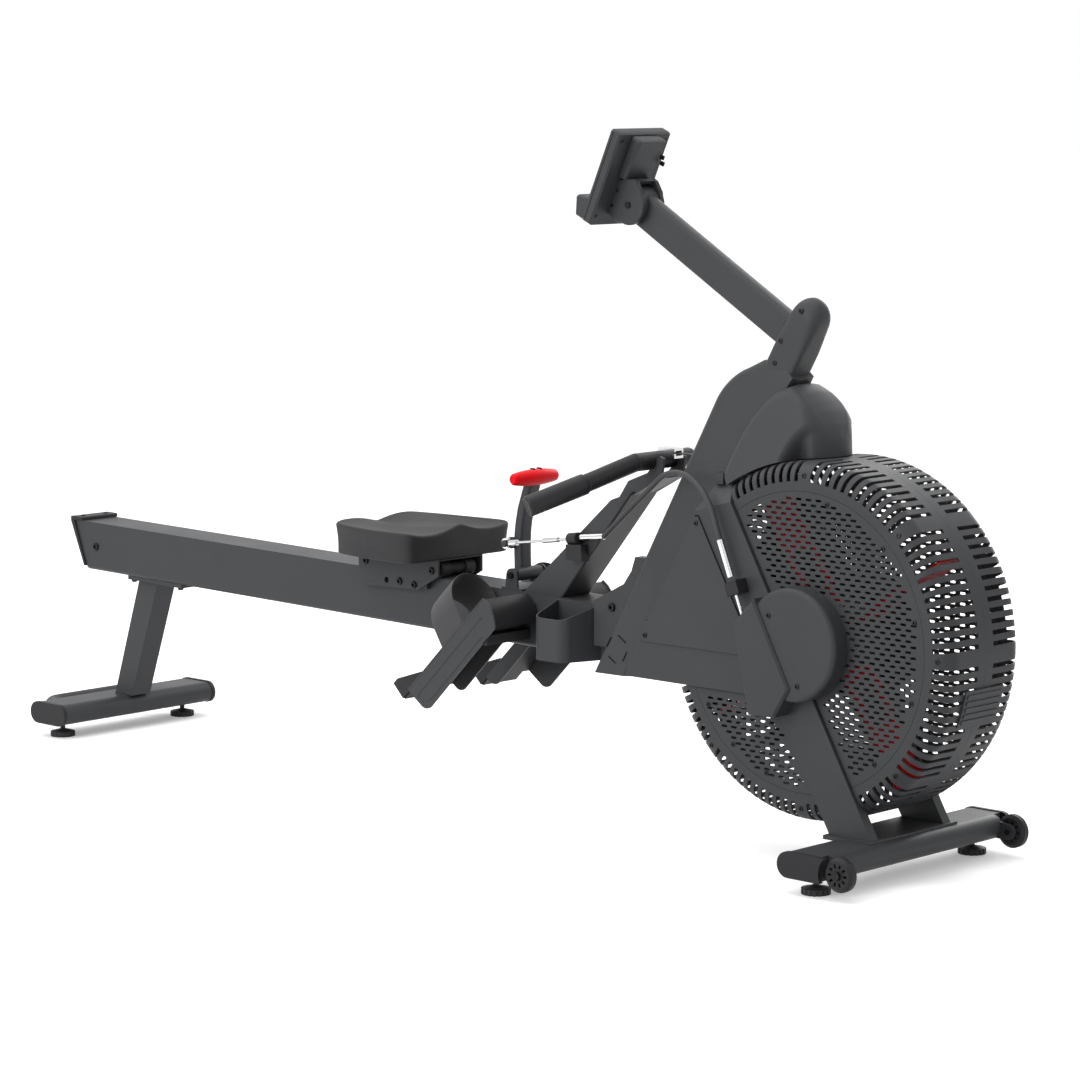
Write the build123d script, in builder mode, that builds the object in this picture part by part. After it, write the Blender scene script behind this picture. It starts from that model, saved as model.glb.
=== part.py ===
from build123d import *
import math
import os

# Frame: millimetres, +X towards the fan, -Y the side seen in the photograph, floor at Z = 0
NEAR, FAR = -1, 1
SIDES = {"near": NEAR, "far": FAR}

# Rail
RAIL_HALF = 44.3
RAIL_DEEP = 100
RAIL_SLOPE = 0.0187
RAIL_FRONT = 447
RAIL_REAR_TOP, RAIL_REAR_LOW = -1137, -1099

# Mast of two flat tubes that lean together
COLUMN_HALF_FOOT = 110
COLUMN_FOOT_Z = 290
COLUMN_LEAN = 0.148
COLUMN_THICK = 45

# Side frames that carry the fan
FRAME_IN, FRAME_OUT = 90, 110
BEAM_LOW, BEAM_HIGH = 294, 360

# Fan
FAN_X, FAN_Z = 863, 395
FAN_R = 309
FAN_BARREL = 73
FAN_FACE = 104
FAN_SEAM = 259.5
CAGE_WALL = 3
HUB_DEEP = {NEAR: 36, FAR: 20}
SLOT_START = 276
SLOT_WIDE = 8
SLOT_BAND = 20
SLOT_PITCH = 360 / 104
SLOTS_BETWEEN_SCREWS = 12
GRILLE_PITCH_X, GRILLE_PITCH_Z = 43, 27.3
BLADES = 4
BLADE_TURN = 33
SHOULDER_R = 31

# Feet and wheels
FOOT_TUBE_LONG, FOOT_TUBE_DEEP = 106, 42
FRONT_BASE_X, FRONT_BASE_HALF = 993, 250
REAR_FOOT_X, REAR_FOOT_HALF = -1041, 197
FOOT_TUBE_Z = 51
PAD_R, STEM_R = 25, 5
WHEEL_X, WHEEL_Z, WHEEL_R = 1060, 46, 29.5

# Seat and carriage
SEAT_FRONT, SEAT_REAR = -50, -284
SEAT_BASE = 446
FRONT_AXLE_X, REAR_AXLE_X = -71, -249
ROLLER_R = 15

# Lever and its linkage
LEVER_X, LEVER_Z = 119, 433
EYE = (96, -30, 489.5)
CLAMP = (271, -46, 515)
CABLE_R = 5
SHEATH_START, SHEATH_TOP, SHEATH_END = (354, -46, 527), (630, -118, 722), (697, -126, 559)
LOWER_END = (722.5, -126, 497)

# Handle
HANDLE_X, HANDLE_Z = 451, 670
BAR_R, GRIP_R = 15.5, 17.5
STRAP_Z = 684
REEL_X, REEL_Z = 762, 745

# Footplates
PLATE_TOE = (163, 405)
PLATE_HEEL = (-31, 215)
PLATE_IN, PLATE_OUT = RAIL_HALF, 163

# Monitor
DRUM_X, DRUM_Z = 395, 1122
MONITOR_HALF = 68

# Running gap of a turning piece on its pin
RUN = 0.06

# Directions of the lever's rod and of the lower rod
ROD_DIR = (Vector(*CLAMP) - Vector(*EYE)).normalized()
LOWER_DIR = (Vector(*LOWER_END) - Vector(*SHEATH_END)).normalized()

os.makedirs("parts", exist_ok=True)


def keep(piece, name):
    """Label a finished piece and write its STEP file."""
    piece.part.label = name
    export_step(piece.part, f"parts/{name}.step")


def upright(y):
    """Plane at depth y that faces the near side and is drawn in X and Z."""
    return Plane(origin=(0, y, 0), x_dir=(1, 0, 0), z_dir=(0, -1, 0))


def facing(x, y, z, side):
    """Plane at a point that faces outwards on one side, for pins and screws along Y."""
    return Plane(origin=(x, y, z), x_dir=(1, 0, 0), z_dir=(0, side, 0))


def rail_top(x):
    """Height of the running surface above the floor."""
    return 399.3 - RAIL_SLOPE * (x - 476)


def axle_height(x):
    """Height of a seat roller's axle, with a hair of play over the rail."""
    return rail_top(x) + ROLLER_R + 0.3


def strut_left(z):
    """X of the strut's rear edge at a height."""
    return 830.5 + 0.58 * (248 - z)


def strut_right(z):
    """X of the strut's front edge at a height."""
    return 895.5 + 0.574 * (294 - z)


# Rail and what closes its rear end
with BuildPart() as rail:
    with BuildSketch(upright(0)):
        Polygon(
            (RAIL_FRONT, rail_top(RAIL_FRONT)),
            (RAIL_REAR_TOP, rail_top(RAIL_REAR_TOP)),
            (RAIL_REAR_LOW, rail_top(RAIL_REAR_LOW) - RAIL_DEEP),
            (RAIL_FRONT, rail_top(RAIL_FRONT) - RAIL_DEEP),
            align=None,
        )
    extrude(amount=RAIL_HALF, both=True)
    long_edges = edges().filter_by(lambda e: e.length > 1000)
    fillet(long_edges.sort_by(Axis.Z)[:2], 8)
keep(rail, "rail")

END_TOP = rail_top(-1130)
with BuildPart() as end_stop:
    with BuildSketch(upright(0)):
        Polygon(
            (-1112, END_TOP - 0.3), (-1112, END_TOP + 7), (-1147, END_TOP + 7.6), (-1147, END_TOP - 2),
            (RAIL_REAR_LOW - 8, 336), (RAIL_REAR_LOW - 3.1, 336), (RAIL_REAR_TOP, END_TOP + 0.15),
            align=None,
        )
    extrude(amount=48, both=True)
    fillet(edges().filter_by(Axis.Y).sort_by(Axis.Z)[-2:], 3)
    add(rail.part, mode=Mode.SUBTRACT)
keep(end_stop, "end_stop")

# Rear leg with its mounting plate, and the rear foot
with BuildPart() as rear_leg:
    with BuildSketch(upright(0)):
        plate_top = lambda x: rail_top(x) - RAIL_DEEP
        Polygon(
            (-978, plate_top(-978)), (-812, plate_top(-812)), (-812, plate_top(-812) - 8),
            (-901, plate_top(-901) - 8), (-988, 72), (-1040, 72), (-958, plate_top(-958) - 8),
            (-978, plate_top(-978) - 8), align=None,
        )
    extrude(amount=25, both=True)
    with BuildSketch(upright(0)):
        Polygon(
            (-978, plate_top(-978)), (-812, plate_top(-812)), (-812, plate_top(-812) - 8),
            (-978, plate_top(-978) - 8), align=None,
        )
    extrude(amount=38, both=True)
keep(rear_leg, "rear_leg")


def foot_tube(x, half, stem_y):
    """Flat oval cross tube with sockets for the two levelling stems."""
    with BuildPart() as tube:
        with BuildSketch(upright(0)):
            with Locations((x, FOOT_TUBE_Z)):
                SlotOverall(FOOT_TUBE_LONG, FOOT_TUBE_DEEP)
        extrude(amount=half, both=True)
        with Locations((x - 4, -stem_y, 30), (x - 4, stem_y, 30)):
            Cylinder(STEM_R + RUN, 50, mode=Mode.SUBTRACT)
    return tube


rear_foot = foot_tube(REAR_FOOT_X, REAR_FOOT_HALF, 162)
keep(rear_foot, "rear_foot")

with BuildPart() as lift_handle:
    with BuildLine() as route:
        FilletPolyline(
            (-1085, -121, 50), (-1160, -121, 50), (-1160, 121, 50), (-1085, 121, 50), radius=45
        )
    with BuildSketch(Plane(origin=(-1085, -121, 50), z_dir=(-1, 0, 0))):
        Circle(12)
    sweep(path=route.line)
    add(rear_foot.part, mode=Mode.SUBTRACT)
keep(lift_handle, "lift_handle")


# Front base with its transport wheels
front_tube = foot_tube(FRONT_BASE_X, FRONT_BASE_HALF, 216)
with BuildPart() as front_base:
    add(front_tube.part)
    with Locations((977, 0, 72.5)):
        Box(98, 246, 7)
    for side in SIDES.values():
        with Locations((1054, side * 239, FOOT_TUBE_Z)):
            Box(60, 22, 60, mode=Mode.SUBTRACT)
        with BuildSketch(upright(side * 222)):
            Polygon((1000, 34), (WHEEL_X, WHEEL_Z - 14), (WHEEL_X, WHEEL_Z + 14), (1000, 68), align=None)
            with Locations((WHEEL_X, WHEEL_Z)):
                Circle(14)
                Circle(STEM_R + 0.02, mode=Mode.SUBTRACT)
        extrude(amount=-side * 6)
keep(front_base, "front_base")

with BuildPart() as foot_caps:
    for side in SIDES.values():
        with BuildSketch(upright(side * REAR_FOOT_HALF)):
            with Locations((REAR_FOOT_X, FOOT_TUBE_Z)):
                SlotOverall(FOOT_TUBE_LONG + 3, FOOT_TUBE_DEEP + 3)
        extrude(amount=-side * 8)
        with BuildSketch(upright(side * FRONT_BASE_HALF)):
            with Locations((FRONT_BASE_X, FOOT_TUBE_Z)):
                SlotOverall(FOOT_TUBE_LONG + 3, FOOT_TUBE_DEEP + 3)
            with Locations((WHEEL_X, WHEEL_Z)):
                Circle(WHEEL_R + 4, mode=Mode.SUBTRACT)
        extrude(amount=-side * 8)
keep(foot_caps, "foot_caps")

with BuildPart() as wheel_bolts:
    for side in SIDES.values():
        with BuildSketch(facing(WHEEL_X, side * 220, WHEEL_Z, side)):
            Circle(STEM_R)
        extrude(amount=29.4)
        with BuildSketch(facing(WHEEL_X, side * 249.4, WHEEL_Z, side)):
            RegularPolygon(8, 6)
        extrude(amount=5)
keep(wheel_bolts, "wheel_bolts")

for word, side in SIDES.items():
    with BuildPart() as transport_wheel:
        with BuildSketch(Plane(origin=(WHEEL_X, side * 239, WHEEL_Z), x_dir=(1, 0, 0), z_dir=(0, 0, 1))):
            Polygon(
                (STEM_R + RUN, -10), (24, -10), (WHEEL_R, -5), (WHEEL_R, 5), (24, 10), (STEM_R + RUN, 10),
                align=None,
            )
        revolve(axis=Axis((WHEEL_X, 0, WHEEL_Z), (0, 1, 0)))
        with BuildSketch(upright(0)):
            with Locations((WHEEL_X, WHEEL_Z)):
                with PolarLocations(16, 10):
                    Rectangle(7, 4)
        extrude(amount=300, both=True, mode=Mode.SUBTRACT)
    keep(transport_wheel, f"transport_wheel_{word}")

for end, x, y in (("front", FRONT_BASE_X - 4, 216), ("rear", REAR_FOOT_X - 4, 162)):
    for word, side in SIDES.items():
        with BuildPart() as levelling_foot:
            with BuildSketch(Plane(origin=(x, side * y, 0), x_dir=(1, 0, 0), z_dir=(0, -1, 0))):
                Polygon((0, 0), (PAD_R, 0), (PAD_R, 10), (STEM_R, 15), (STEM_R, 50), (0, 50), align=None)
            revolve(axis=Axis((x, side * y, 0), (0, 0, 1)))
            with BuildSketch(Plane(origin=(x, side * y, 0))):
                with PolarLocations(PAD_R, 16):
                    Rectangle(3.5, 4)
            extrude(amount=12, mode=Mode.SUBTRACT)
        keep(levelling_foot, f"levelling_foot_{end}_{word}")

# Mast: two flat tubes that lean together into one head, with the plates that carry rail and side frames
LEANING = Plane(
    origin=(0, -COLUMN_HALF_FOOT, COLUMN_FOOT_Z), x_dir=(1, 0, 0), z_dir=(0, -1, COLUMN_LEAN)
)
COS_LEAN = math.cos(math.atan(COLUMN_LEAN))


def on_column(x, z):
    """Sketch point on the near column's leaning face, from its place in the side view."""
    return (x, (z - COLUMN_FOOT_Z) / COS_LEAN)


with BuildPart() as mast:
    with BuildSketch(LEANING):
        with BuildLine():
            Line(on_column(383, 291), on_column(604, 794))
            ThreePointArc(on_column(604, 794), on_column(630, 827), on_column(669, 850))
            Polyline(
                on_column(669, 850), on_column(701, 865), on_column(748, 862), on_column(775, 836),
                on_column(725, 760), on_column(680, 668), on_column(640, 632), on_column(600, 610),
                on_column(459, 292), on_column(383, 291),
            )
        make_face()
    extrude(amount=-COLUMN_THICK)
    outer_edges = faces().filter_by(LEANING).sort_by(Axis.Y)[0].edges()
    fillet(outer_edges.filter_by(lambda e: e.length > 500), 14)
    mirror(about=Plane.XZ)
    with Locations((469, 0, 325)):
        Box(40, 124, 50)
    for side in SIDES.values():
        with BuildSketch(upright(side * RAIL_HALF)):
            Polygon(
                (347, 330), (347, 412), (419, 449), (437, 474), (446, 500), (470, 500), (470, 330), align=None
            )
        extrude(amount=-side * 20)
        with Locations((660, side * 65, 660)):
            Box(25, 50, 19)
    with Locations((610, 0, STRAP_Z)):
        Box(220, 28, 8, mode=Mode.SUBTRACT)
keep(mast, "mast")


def frame_outline(grow=0):
    """Strut, lower beam and axle boss of a side frame, drawn into the open sketch."""
    Polygon(
        (strut_left(76), 76), (625, 602), (646, 642), (662, 671), (687, 674.5), (694, 645),
        (strut_right(76), 76), align=None,
    )
    Polygon((462, BEAM_LOW), (492, BEAM_HIGH), (790, BEAM_HIGH), (830, BEAM_LOW), align=None)
    Polygon((492, BEAM_HIGH - 1), (513, 400), (545, BEAM_HIGH - 1), align=None)
    with Locations((FAN_X, FAN_Z)):
        Circle(58)
    if grow:
        offset(amount=grow, kind=Kind.INTERSECTION)


for word, side in SIDES.items():
    with BuildPart() as side_frame:
        with BuildSketch(upright(side * FRAME_IN)):
            frame_outline()
            with Locations((FAN_X, FAN_Z)):
                Circle(12.02, mode=Mode.SUBTRACT)
        extrude(amount=-side * (FRAME_OUT - FRAME_IN))
    keep(side_frame, f"side_frame_{word}")

with BuildPart() as triangle_covers:
    for side in SIDES.values():
        with BuildSketch(upright(side * FRAME_OUT)):
            Polygon((631, 600), (497, 361), (752, 361), (739, 411), align=None)
            fillet(vertices(), 7)
        extrude(amount=-side * 3)
keep(triangle_covers, "triangle_covers")

# Fan cage in two slotted halves, with grille panels let into their faces
def shoulder(side, radius):
    """Quarter round between a cage half's face and its barrel, drawn into the open line."""
    r, y = FAN_R - SHOULDER_R, FAN_BARREL
    ThreePointArc(
        (r, side * (y + radius)), (r + radius * 0.70711, side * (y + radius * 0.70711)),
        (r + radius, side * y),
    )


for word, side in SIDES.items():
    with BuildPart() as fan_cage:
        with BuildSketch(Plane(origin=(FAN_X, 0, FAN_Z), x_dir=(1, 0, 0), z_dir=(0, 0, 1))):
            with BuildLine():
                shoulder(side, SHOULDER_R)
                Polyline(
                    (FAN_R, side * FAN_BARREL), (FAN_R, side * 0.15), (FAN_R - CAGE_WALL, side * 0.15),
                    (FAN_R - CAGE_WALL, side * FAN_BARREL),
                )
                shoulder(side, SHOULDER_R - CAGE_WALL)
                Polyline(
                    (FAN_R - SHOULDER_R, side * 101), (262, side * 101), (262, side * 98.5),
                    (250, side * 98.5), (250, side * 101), (FAN_SEAM + 0.3, side * 101),
                    (FAN_SEAM + 0.3, side * FAN_FACE), (FAN_R - SHOULDER_R, side * FAN_FACE),
                )
            make_face()
        revolve(axis=Axis((FAN_X, 0, FAN_Z), (0, 1, 0)))
        with BuildSketch(
            Plane(origin=(FAN_X, side * SLOT_BAND, FAN_Z), x_dir=(1, 0, 0), z_dir=(0, -1, 0))
        ):
            for group in range(8):
                with PolarLocations(
                    (SLOT_START + FAN_R + 10) / 2, SLOTS_BETWEEN_SCREWS,
                    start_angle=45 * group + SLOT_PITCH, angular_range=SLOTS_BETWEEN_SCREWS * SLOT_PITCH,
                ):
                    Rectangle(FAN_R + 10 - SLOT_START, SLOT_WIDE)
        extrude(amount=-side * 100, mode=Mode.SUBTRACT)
        with BuildSketch(upright(side * (FRAME_IN - 2))):
            frame_outline(1.5)
        extrude(amount=-side * 40, mode=Mode.SUBTRACT)
    keep(fan_cage, f"fan_cage_{word}")


def grille_places(inside):
    """Centres of the staggered grille slots that lie inside a panel."""
    places = []
    for row in range(-9, 10):
        for column in range(-6, 7):
            x = FAN_X + GRILLE_PITCH_X * (column + 0.5 * (row % 2))
            z = FAN_Z + GRILLE_PITCH_Z * row
            if inside(x, z) and 112 < math.hypot(x - FAN_X, z - FAN_Z) < 224:
                places.append((x, z))
    return places


for word, side in SIDES.items():
    with BuildPart() as grille:
        with BuildSketch(upright(side * 101)):
            with Locations((FAN_X, FAN_Z)):
                Circle(FAN_SEAM)
                Circle(62, mode=Mode.SUBTRACT)
            Polygon(
                (strut_right(100) + 2, 100), (strut_right(700) + 2, 700), (1200, 700), (1200, 100),
                align=None, mode=Mode.INTERSECT,
            )
            with Locations(*grille_places(lambda x, z: x > strut_right(z) + 30)):
                Rectangle(34, 7, mode=Mode.SUBTRACT)
        extrude(amount=-side * CAGE_WALL)
        with BuildSketch(upright(side * 101)):
            with Locations((FAN_X, FAN_Z)):
                Circle(FAN_SEAM)
                Circle(62, mode=Mode.SUBTRACT)
            Polygon(
                (strut_left(100) - 2, 100), (strut_left(BEAM_LOW) - 3, BEAM_LOW - 2), (560, BEAM_LOW - 2),
                (560, 100), align=None, mode=Mode.INTERSECT,
            )
            with Locations(*grille_places(lambda x, z: z < BEAM_LOW - 14 and x < strut_left(z) - 32)):
                Rectangle(34, 7, mode=Mode.SUBTRACT)
        extrude(amount=-side * CAGE_WALL)
    keep(grille, f"grille_{word}")

    with BuildPart() as hub_cover:
        with BuildSketch(upright(side * FAN_FACE)):
            with Locations((FAN_X, FAN_Z)):
                Circle(98)
        extrude(amount=-side * HUB_DEEP[side])
        outermost = 0 if side == NEAR else -1
        fillet(faces().sort_by(Axis.Y)[outermost].edges(), 9)
        with BuildSketch(upright(side * FAN_FACE)):
            Polygon((741, 420), (777, 266), (835, 268), (867, 320), (787, 468), align=None)
        extrude(amount=-side * (HUB_DEEP[side] + 6))
        chamfer(faces().sort_by(Axis.Y)[outermost].edges(), 4)
        with BuildSketch(upright(side * (FRAME_IN - 2))):
            frame_outline()
        extrude(amount=-side * (FRAME_OUT - FRAME_IN + 2), mode=Mode.SUBTRACT)
        if side == NEAR:
            with BuildSketch(Plane(origin=Vector(*LOWER_END) + LOWER_DIR * 40, z_dir=LOWER_DIR)):
                Circle(5)
            extrude(amount=66, mode=Mode.SUBTRACT)
    keep(hub_cover, f"hub_cover_{word}")

# Moving fan on its axle
with BuildPart() as fan_axle:
    with BuildSketch(upright(0)):
        with Locations((FAN_X, FAN_Z)):
            Circle(12)
    extrude(amount=108, both=True)
keep(fan_axle, "fan_axle")

with BuildPart() as fan_rotor:
    with BuildSketch(Plane(origin=(FAN_X, 0, FAN_Z), x_dir=(1, 0, 0), z_dir=(0, 0, 1))):
        Polygon((12 + RUN, -60), (60, -60), (60, 60), (12 + RUN, 60), align=None)
    revolve(axis=Axis((FAN_X, 0, FAN_Z), (0, 1, 0)))
    with BuildSketch(Plane(origin=(FAN_X, 42, FAN_Z), x_dir=(1, 0, 0), z_dir=(0, -1, 0))):
        with PolarLocations(171, BLADES, start_angle=BLADE_TURN):
            Rectangle(234, 3)
    extrude(amount=84)
    with BuildSketch(Plane(origin=(FAN_X, 26, FAN_Z), x_dir=(1, 0, 0), z_dir=(0, -1, 0))):
        with PolarLocations(125, BLADES, start_angle=BLADE_TURN):
            Rectangle(90, 6)
    extrude(amount=52, mode=Mode.SUBTRACT)
keep(fan_rotor, "fan_rotor")

# Nose cover over the fan's rim, with the strap reel inside
with BuildPart() as nose_cover:
    with BuildSketch(upright(0)):
        with BuildLine():
            Polyline((700, 640), (673, 672), (691, 733))
            ThreePointArc((691, 733), (727, 793), (779, 832))
            ThreePointArc((779, 832), (831, 803), (857, 750))
            Polyline((857, 750), (856, 722), (850, 690), (784, 680), (700, 640))
        make_face()
    extrude(amount=110, both=True)
    with BuildSketch(Plane.YZ.offset(600)):
        Polygon((-110, 618), (110, 618), (42, 845), (-42, 845), align=None)
    extrude(amount=300, mode=Mode.INTERSECT)
    for side in SIDES.values():
        with BuildSketch(upright(side * 45)):
            with BuildLine():
                ThreePointArc((784, 690), (807, 741), (867, 781))
                Polyline((867, 781), (900, 781), (900, 650), (784, 650), (784, 690))
            make_face()
        extrude(amount=-side * 80, mode=Mode.SUBTRACT)
    with BuildSketch(Plane(origin=(FAN_X, 0, FAN_Z), x_dir=(1, 0, 0), z_dir=(0, 0, 1))):
        with BuildLine():
            shoulder(NEAR, SHOULDER_R + 1)
            Line((FAN_R + 1, -FAN_BARREL), (FAN_R + 1, FAN_BARREL))
            shoulder(FAR, SHOULDER_R + 1)
            Polyline(
                (FAN_R - SHOULDER_R, FAN_FACE + 1), (0, FAN_FACE + 1), (0, -FAN_FACE - 1),
                (FAN_R - SHOULDER_R, -FAN_FACE - 1),
            )
        make_face()
    revolve(axis=Axis((FAN_X, 0, FAN_Z), (0, 1, 0)), mode=Mode.SUBTRACT)
    with BuildSketch(upright(0)):
        with Locations((REEL_X, REEL_Z)):
            Circle(38)
    extrude(amount=17, both=True, mode=Mode.SUBTRACT)
    with BuildSketch(upright(0)):
        with Locations((REEL_X, REEL_Z)):
            Circle(6.02)
    extrude(amount=30, both=True, mode=Mode.SUBTRACT)
    for side in SIDES.values():
        with BuildSketch(upright(side * (FRAME_IN - 2))):
            frame_outline(1)
        extrude(amount=-side * 40, mode=Mode.SUBTRACT)
    with Locations((690, 0, STRAP_Z)):
        Box(110, 28, 8, mode=Mode.SUBTRACT)
    add(mast.part, mode=Mode.SUBTRACT)
keep(nose_cover, "nose_cover")

with BuildPart() as pivot_pins:
    for x, z, half in ((REEL_X, REEL_Z, 30), (DRUM_X, DRUM_Z, 32), (LEVER_X, LEVER_Z, 47)):
        with BuildSketch(upright(0)):
            with Locations((x, z)):
                Circle(6)
        extrude(amount=half, both=True)
keep(pivot_pins, "pivot_pins")

with BuildPart() as strap_reel:
    with BuildSketch(Plane(origin=(REEL_X, 0, REEL_Z), x_dir=(1, 0, 0), z_dir=(0, 0, 1))):
        Polygon(
            (6 + RUN, -15), (36, -15), (36, -12), (30, -12), (30, 12), (36, 12), (36, 15), (6 + RUN, 15),
            align=None,
        )
    revolve(axis=Axis((REEL_X, 0, REEL_Z), (0, 1, 0)))
keep(strap_reel, "strap_reel")

# Neck, arm and monitor
with BuildPart() as neck:
    with BuildSketch(upright(0)):
        with BuildLine():
            Polyline((763, 829), (732, 841), (706, 854), (708, 862), (761, 947))
            ThreePointArc((761, 947), (800, 971), (834, 953))
            Polyline((834, 953), (815, 920), (770, 831), (763, 829))
        make_face()
    extrude(amount=27, both=True)
    fillet(faces().filter_by(Axis.Y).edges().filter_by_position(Axis.Z, 870, 990), 7)
    add(mast.part, mode=Mode.SUBTRACT)
keep(neck, "neck")

with BuildPart() as monitor_arm:
    with BuildLine() as arm_line:
        Line((765, 0, 902), (DRUM_X, 0, DRUM_Z))
    with BuildSketch(Plane(origin=arm_line.line @ 0, x_dir=(0, 1, 0), z_dir=arm_line.line % 0)):
        RectangleRounded(26, 56, 9)
    sweep(path=arm_line.line)
    with BuildSketch(upright(0)):
        with Locations((DRUM_X, DRUM_Z)):
            Circle(34)
    extrude(amount=20, both=True)
    with BuildSketch(upright(0)):
        with Locations((DRUM_X, DRUM_Z)):
            Circle(6.02)
    extrude(amount=40, both=True, mode=Mode.SUBTRACT)
    add(neck.part, mode=Mode.SUBTRACT)
keep(monitor_arm, "monitor_arm")

with BuildPart() as monitor_case:
    with BuildSketch(upright(0)):
        Polygon((318, 1095), (391, 1255), (411, 1246), (338, 1086), align=None)
        fillet(vertices(), 5)
    extrude(amount=MONITOR_HALF, both=True)
    with BuildSketch(upright(0)):
        Polygon((372, 1170), (404, 1241), (421, 1229), (396, 1170), align=None)
    extrude(amount=48, both=True)
    with BuildSketch(upright(0)):
        Polygon((321, 1092), (299, 1133), (304, 1138), (342, 1140), align=None)
    extrude(amount=MONITOR_HALF - 4, both=True)
    for side in SIDES.values():
        with BuildSketch(upright(side * 20.4)):
            with Locations((DRUM_X, DRUM_Z)):
                Circle(34)
            Polygon((344, 1104), (374, 1167), (400, 1156), (370, 1090), align=None)
            with Locations((DRUM_X, DRUM_Z)):
                Circle(6 + RUN, mode=Mode.SUBTRACT)
        extrude(amount=-side * 9)
keep(monitor_case, "monitor_case")

with BuildPart() as monitor_screen:
    with BuildSketch(upright(0)):
        Polygon((336, 1140), (384, 1245), (381.5, 1246.2), (333.5, 1141.2), align=None)
    extrude(amount=56, both=True)
    add(monitor_case.part, mode=Mode.SUBTRACT)
keep(monitor_screen, "monitor_screen")

# Handle post and cradle
with BuildPart() as handle_post:
    with BuildSketch(upright(0)):
        Polygon(
            (146, rail_top(146)), (360, 592), (416, 612), (243, rail_top(243)), align=None
        )
    extrude(amount=38, both=True)
    fillet(edges().filter_by(lambda e: e.length > 200), 4)
    for side in SIDES.values():
        with BuildSketch(upright(side * 26)):
            Polygon(
                (372, 590), (414, 606), (478, 640), (484, 676), (474, 680), (446, 648), (400, 630),
                align=None,
            )
            with Locations((HANDLE_X, HANDLE_Z)):
                Circle(BAR_R + 0.5, mode=Mode.SUBTRACT)
        extrude(amount=-side * 6)
    with BuildSketch(upright(0)):
        Polygon((408, 604), (420, 610), (478, 640), (476, 645), (412, 614), align=None)
    extrude(amount=32, both=True)
keep(handle_post, "handle_post")

# Handle with its grips, clevis and strap
with BuildPart() as handle_bar:
    with BuildLine() as route:
        FilletPolyline(
            (366, -254, 601), (416, -158, 638), (HANDLE_X, -70, HANDLE_Z), (HANDLE_X, 70, HANDLE_Z),
            (416, 158, 638), (366, 254, 601), radius=60,
        )
    with BuildSketch(Plane(origin=route.line @ 0, z_dir=route.line % 0)):
        Circle(BAR_R)
    sweep(path=route.line)
keep(handle_bar, "handle_bar")

with BuildPart() as handle_grips:
    for side in SIDES.values():
        with BuildSketch(Plane(origin=(366, side * 254, 601), z_dir=(50, -side * 96, 37))):
            Circle(GRIP_R)
            Circle(BAR_R, mode=Mode.SUBTRACT)
        extrude(amount=98)
        with BuildSketch(Plane(origin=(366, side * 254, 601), z_dir=(-50, side * 96, -37))):
            Circle(GRIP_R)
        extrude(amount=4)
keep(handle_grips, "handle_grips")

with BuildPart() as clevis:
    with BuildSketch(upright(0)):
        Polygon((452, 686), (452, 693), (492, 693), (492, 675), (464, 672), align=None)
    extrude(amount=12, both=True)
    with Locations((484, 0, STRAP_Z)):
        Box(24, 16, 9, mode=Mode.SUBTRACT)
    add(handle_bar.part, mode=Mode.SUBTRACT)
keep(clevis, "handle_clevis")

with BuildPart() as pull_strap:
    with Locations((585, 0, STRAP_Z)):
        Box(220, 15, 3)
keep(pull_strap, "pull_strap")

# Resistance lever and its linkage
with BuildPart() as lever_bracket:
    with BuildSketch(upright(0)):
        Polygon(
            (94, rail_top(94)), (94, rail_top(94) + 4), (146, rail_top(146) + 4), (146, rail_top(146)),
            align=None,
        )
    extrude(amount=42, both=True)
    for side in SIDES.values():
        with BuildSketch(upright(side * 37.6)):
            Polygon((103, 407), (106, LEVER_Z), (132, LEVER_Z), (135, 407), align=None)
            with Locations((LEVER_X, LEVER_Z)):
                Circle(13)
                Circle(6.02, mode=Mode.SUBTRACT)
        extrude(amount=-side * 4.4)
    add(handle_post.part, mode=Mode.SUBTRACT)
keep(lever_bracket, "lever_bracket")

with BuildPart() as lever_tube:
    with BuildSketch(upright(0)):
        Polygon((100, 436), (101, 494), (121, 598), (161, 598), (140, 494), (137, 436), align=None)
    extrude(amount=18, both=True)
    fillet(edges().filter_by(lambda e: e.length > 50), 6)
    with BuildSketch(upright(0)):
        with Locations((LEVER_X, LEVER_Z)):
            Circle(12)
    extrude(amount=37.2, both=True)
    with BuildSketch(upright(0)):
        with Locations((LEVER_X, LEVER_Z)):
            Circle(6 + RUN)
    extrude(amount=40, both=True, mode=Mode.SUBTRACT)
    with BuildSketch(upright(-12)):
        with Locations((EYE[0], EYE[2])):
            Circle(11)
        Polygon(
            (EYE[0], EYE[2] - 11), (112, EYE[2] - 11), (112, EYE[2] + 11), (EYE[0], EYE[2] + 11),
            align=None,
        )
    extrude(amount=8)
    with BuildSketch(facing(EYE[0], -20, EYE[2], NEAR)):
        Circle(4)
    extrude(amount=15)
    with BuildSketch(facing(EYE[0], -35, EYE[2], NEAR)):
        RegularPolygon(7, 6)
    extrude(amount=4)
keep(lever_tube, "lever_tube")

with BuildPart() as lever_grip:
    with BuildSketch(Plane(origin=(138, 0, 613.5), x_dir=(1, 0, 0), z_dir=(0, 0, 1))):
        with BuildLine():
            Polyline((11, 54), (8, 58), (0, 58), (0, -58), (8, -58), (11, -54))
            ThreePointArc((11, -54), (15.5, 0), (11, 54))
        make_face()
    revolve(axis=Axis((138, 0, 613.5), (0, 1, 0)))
keep(lever_grip, "lever_grip")

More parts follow.
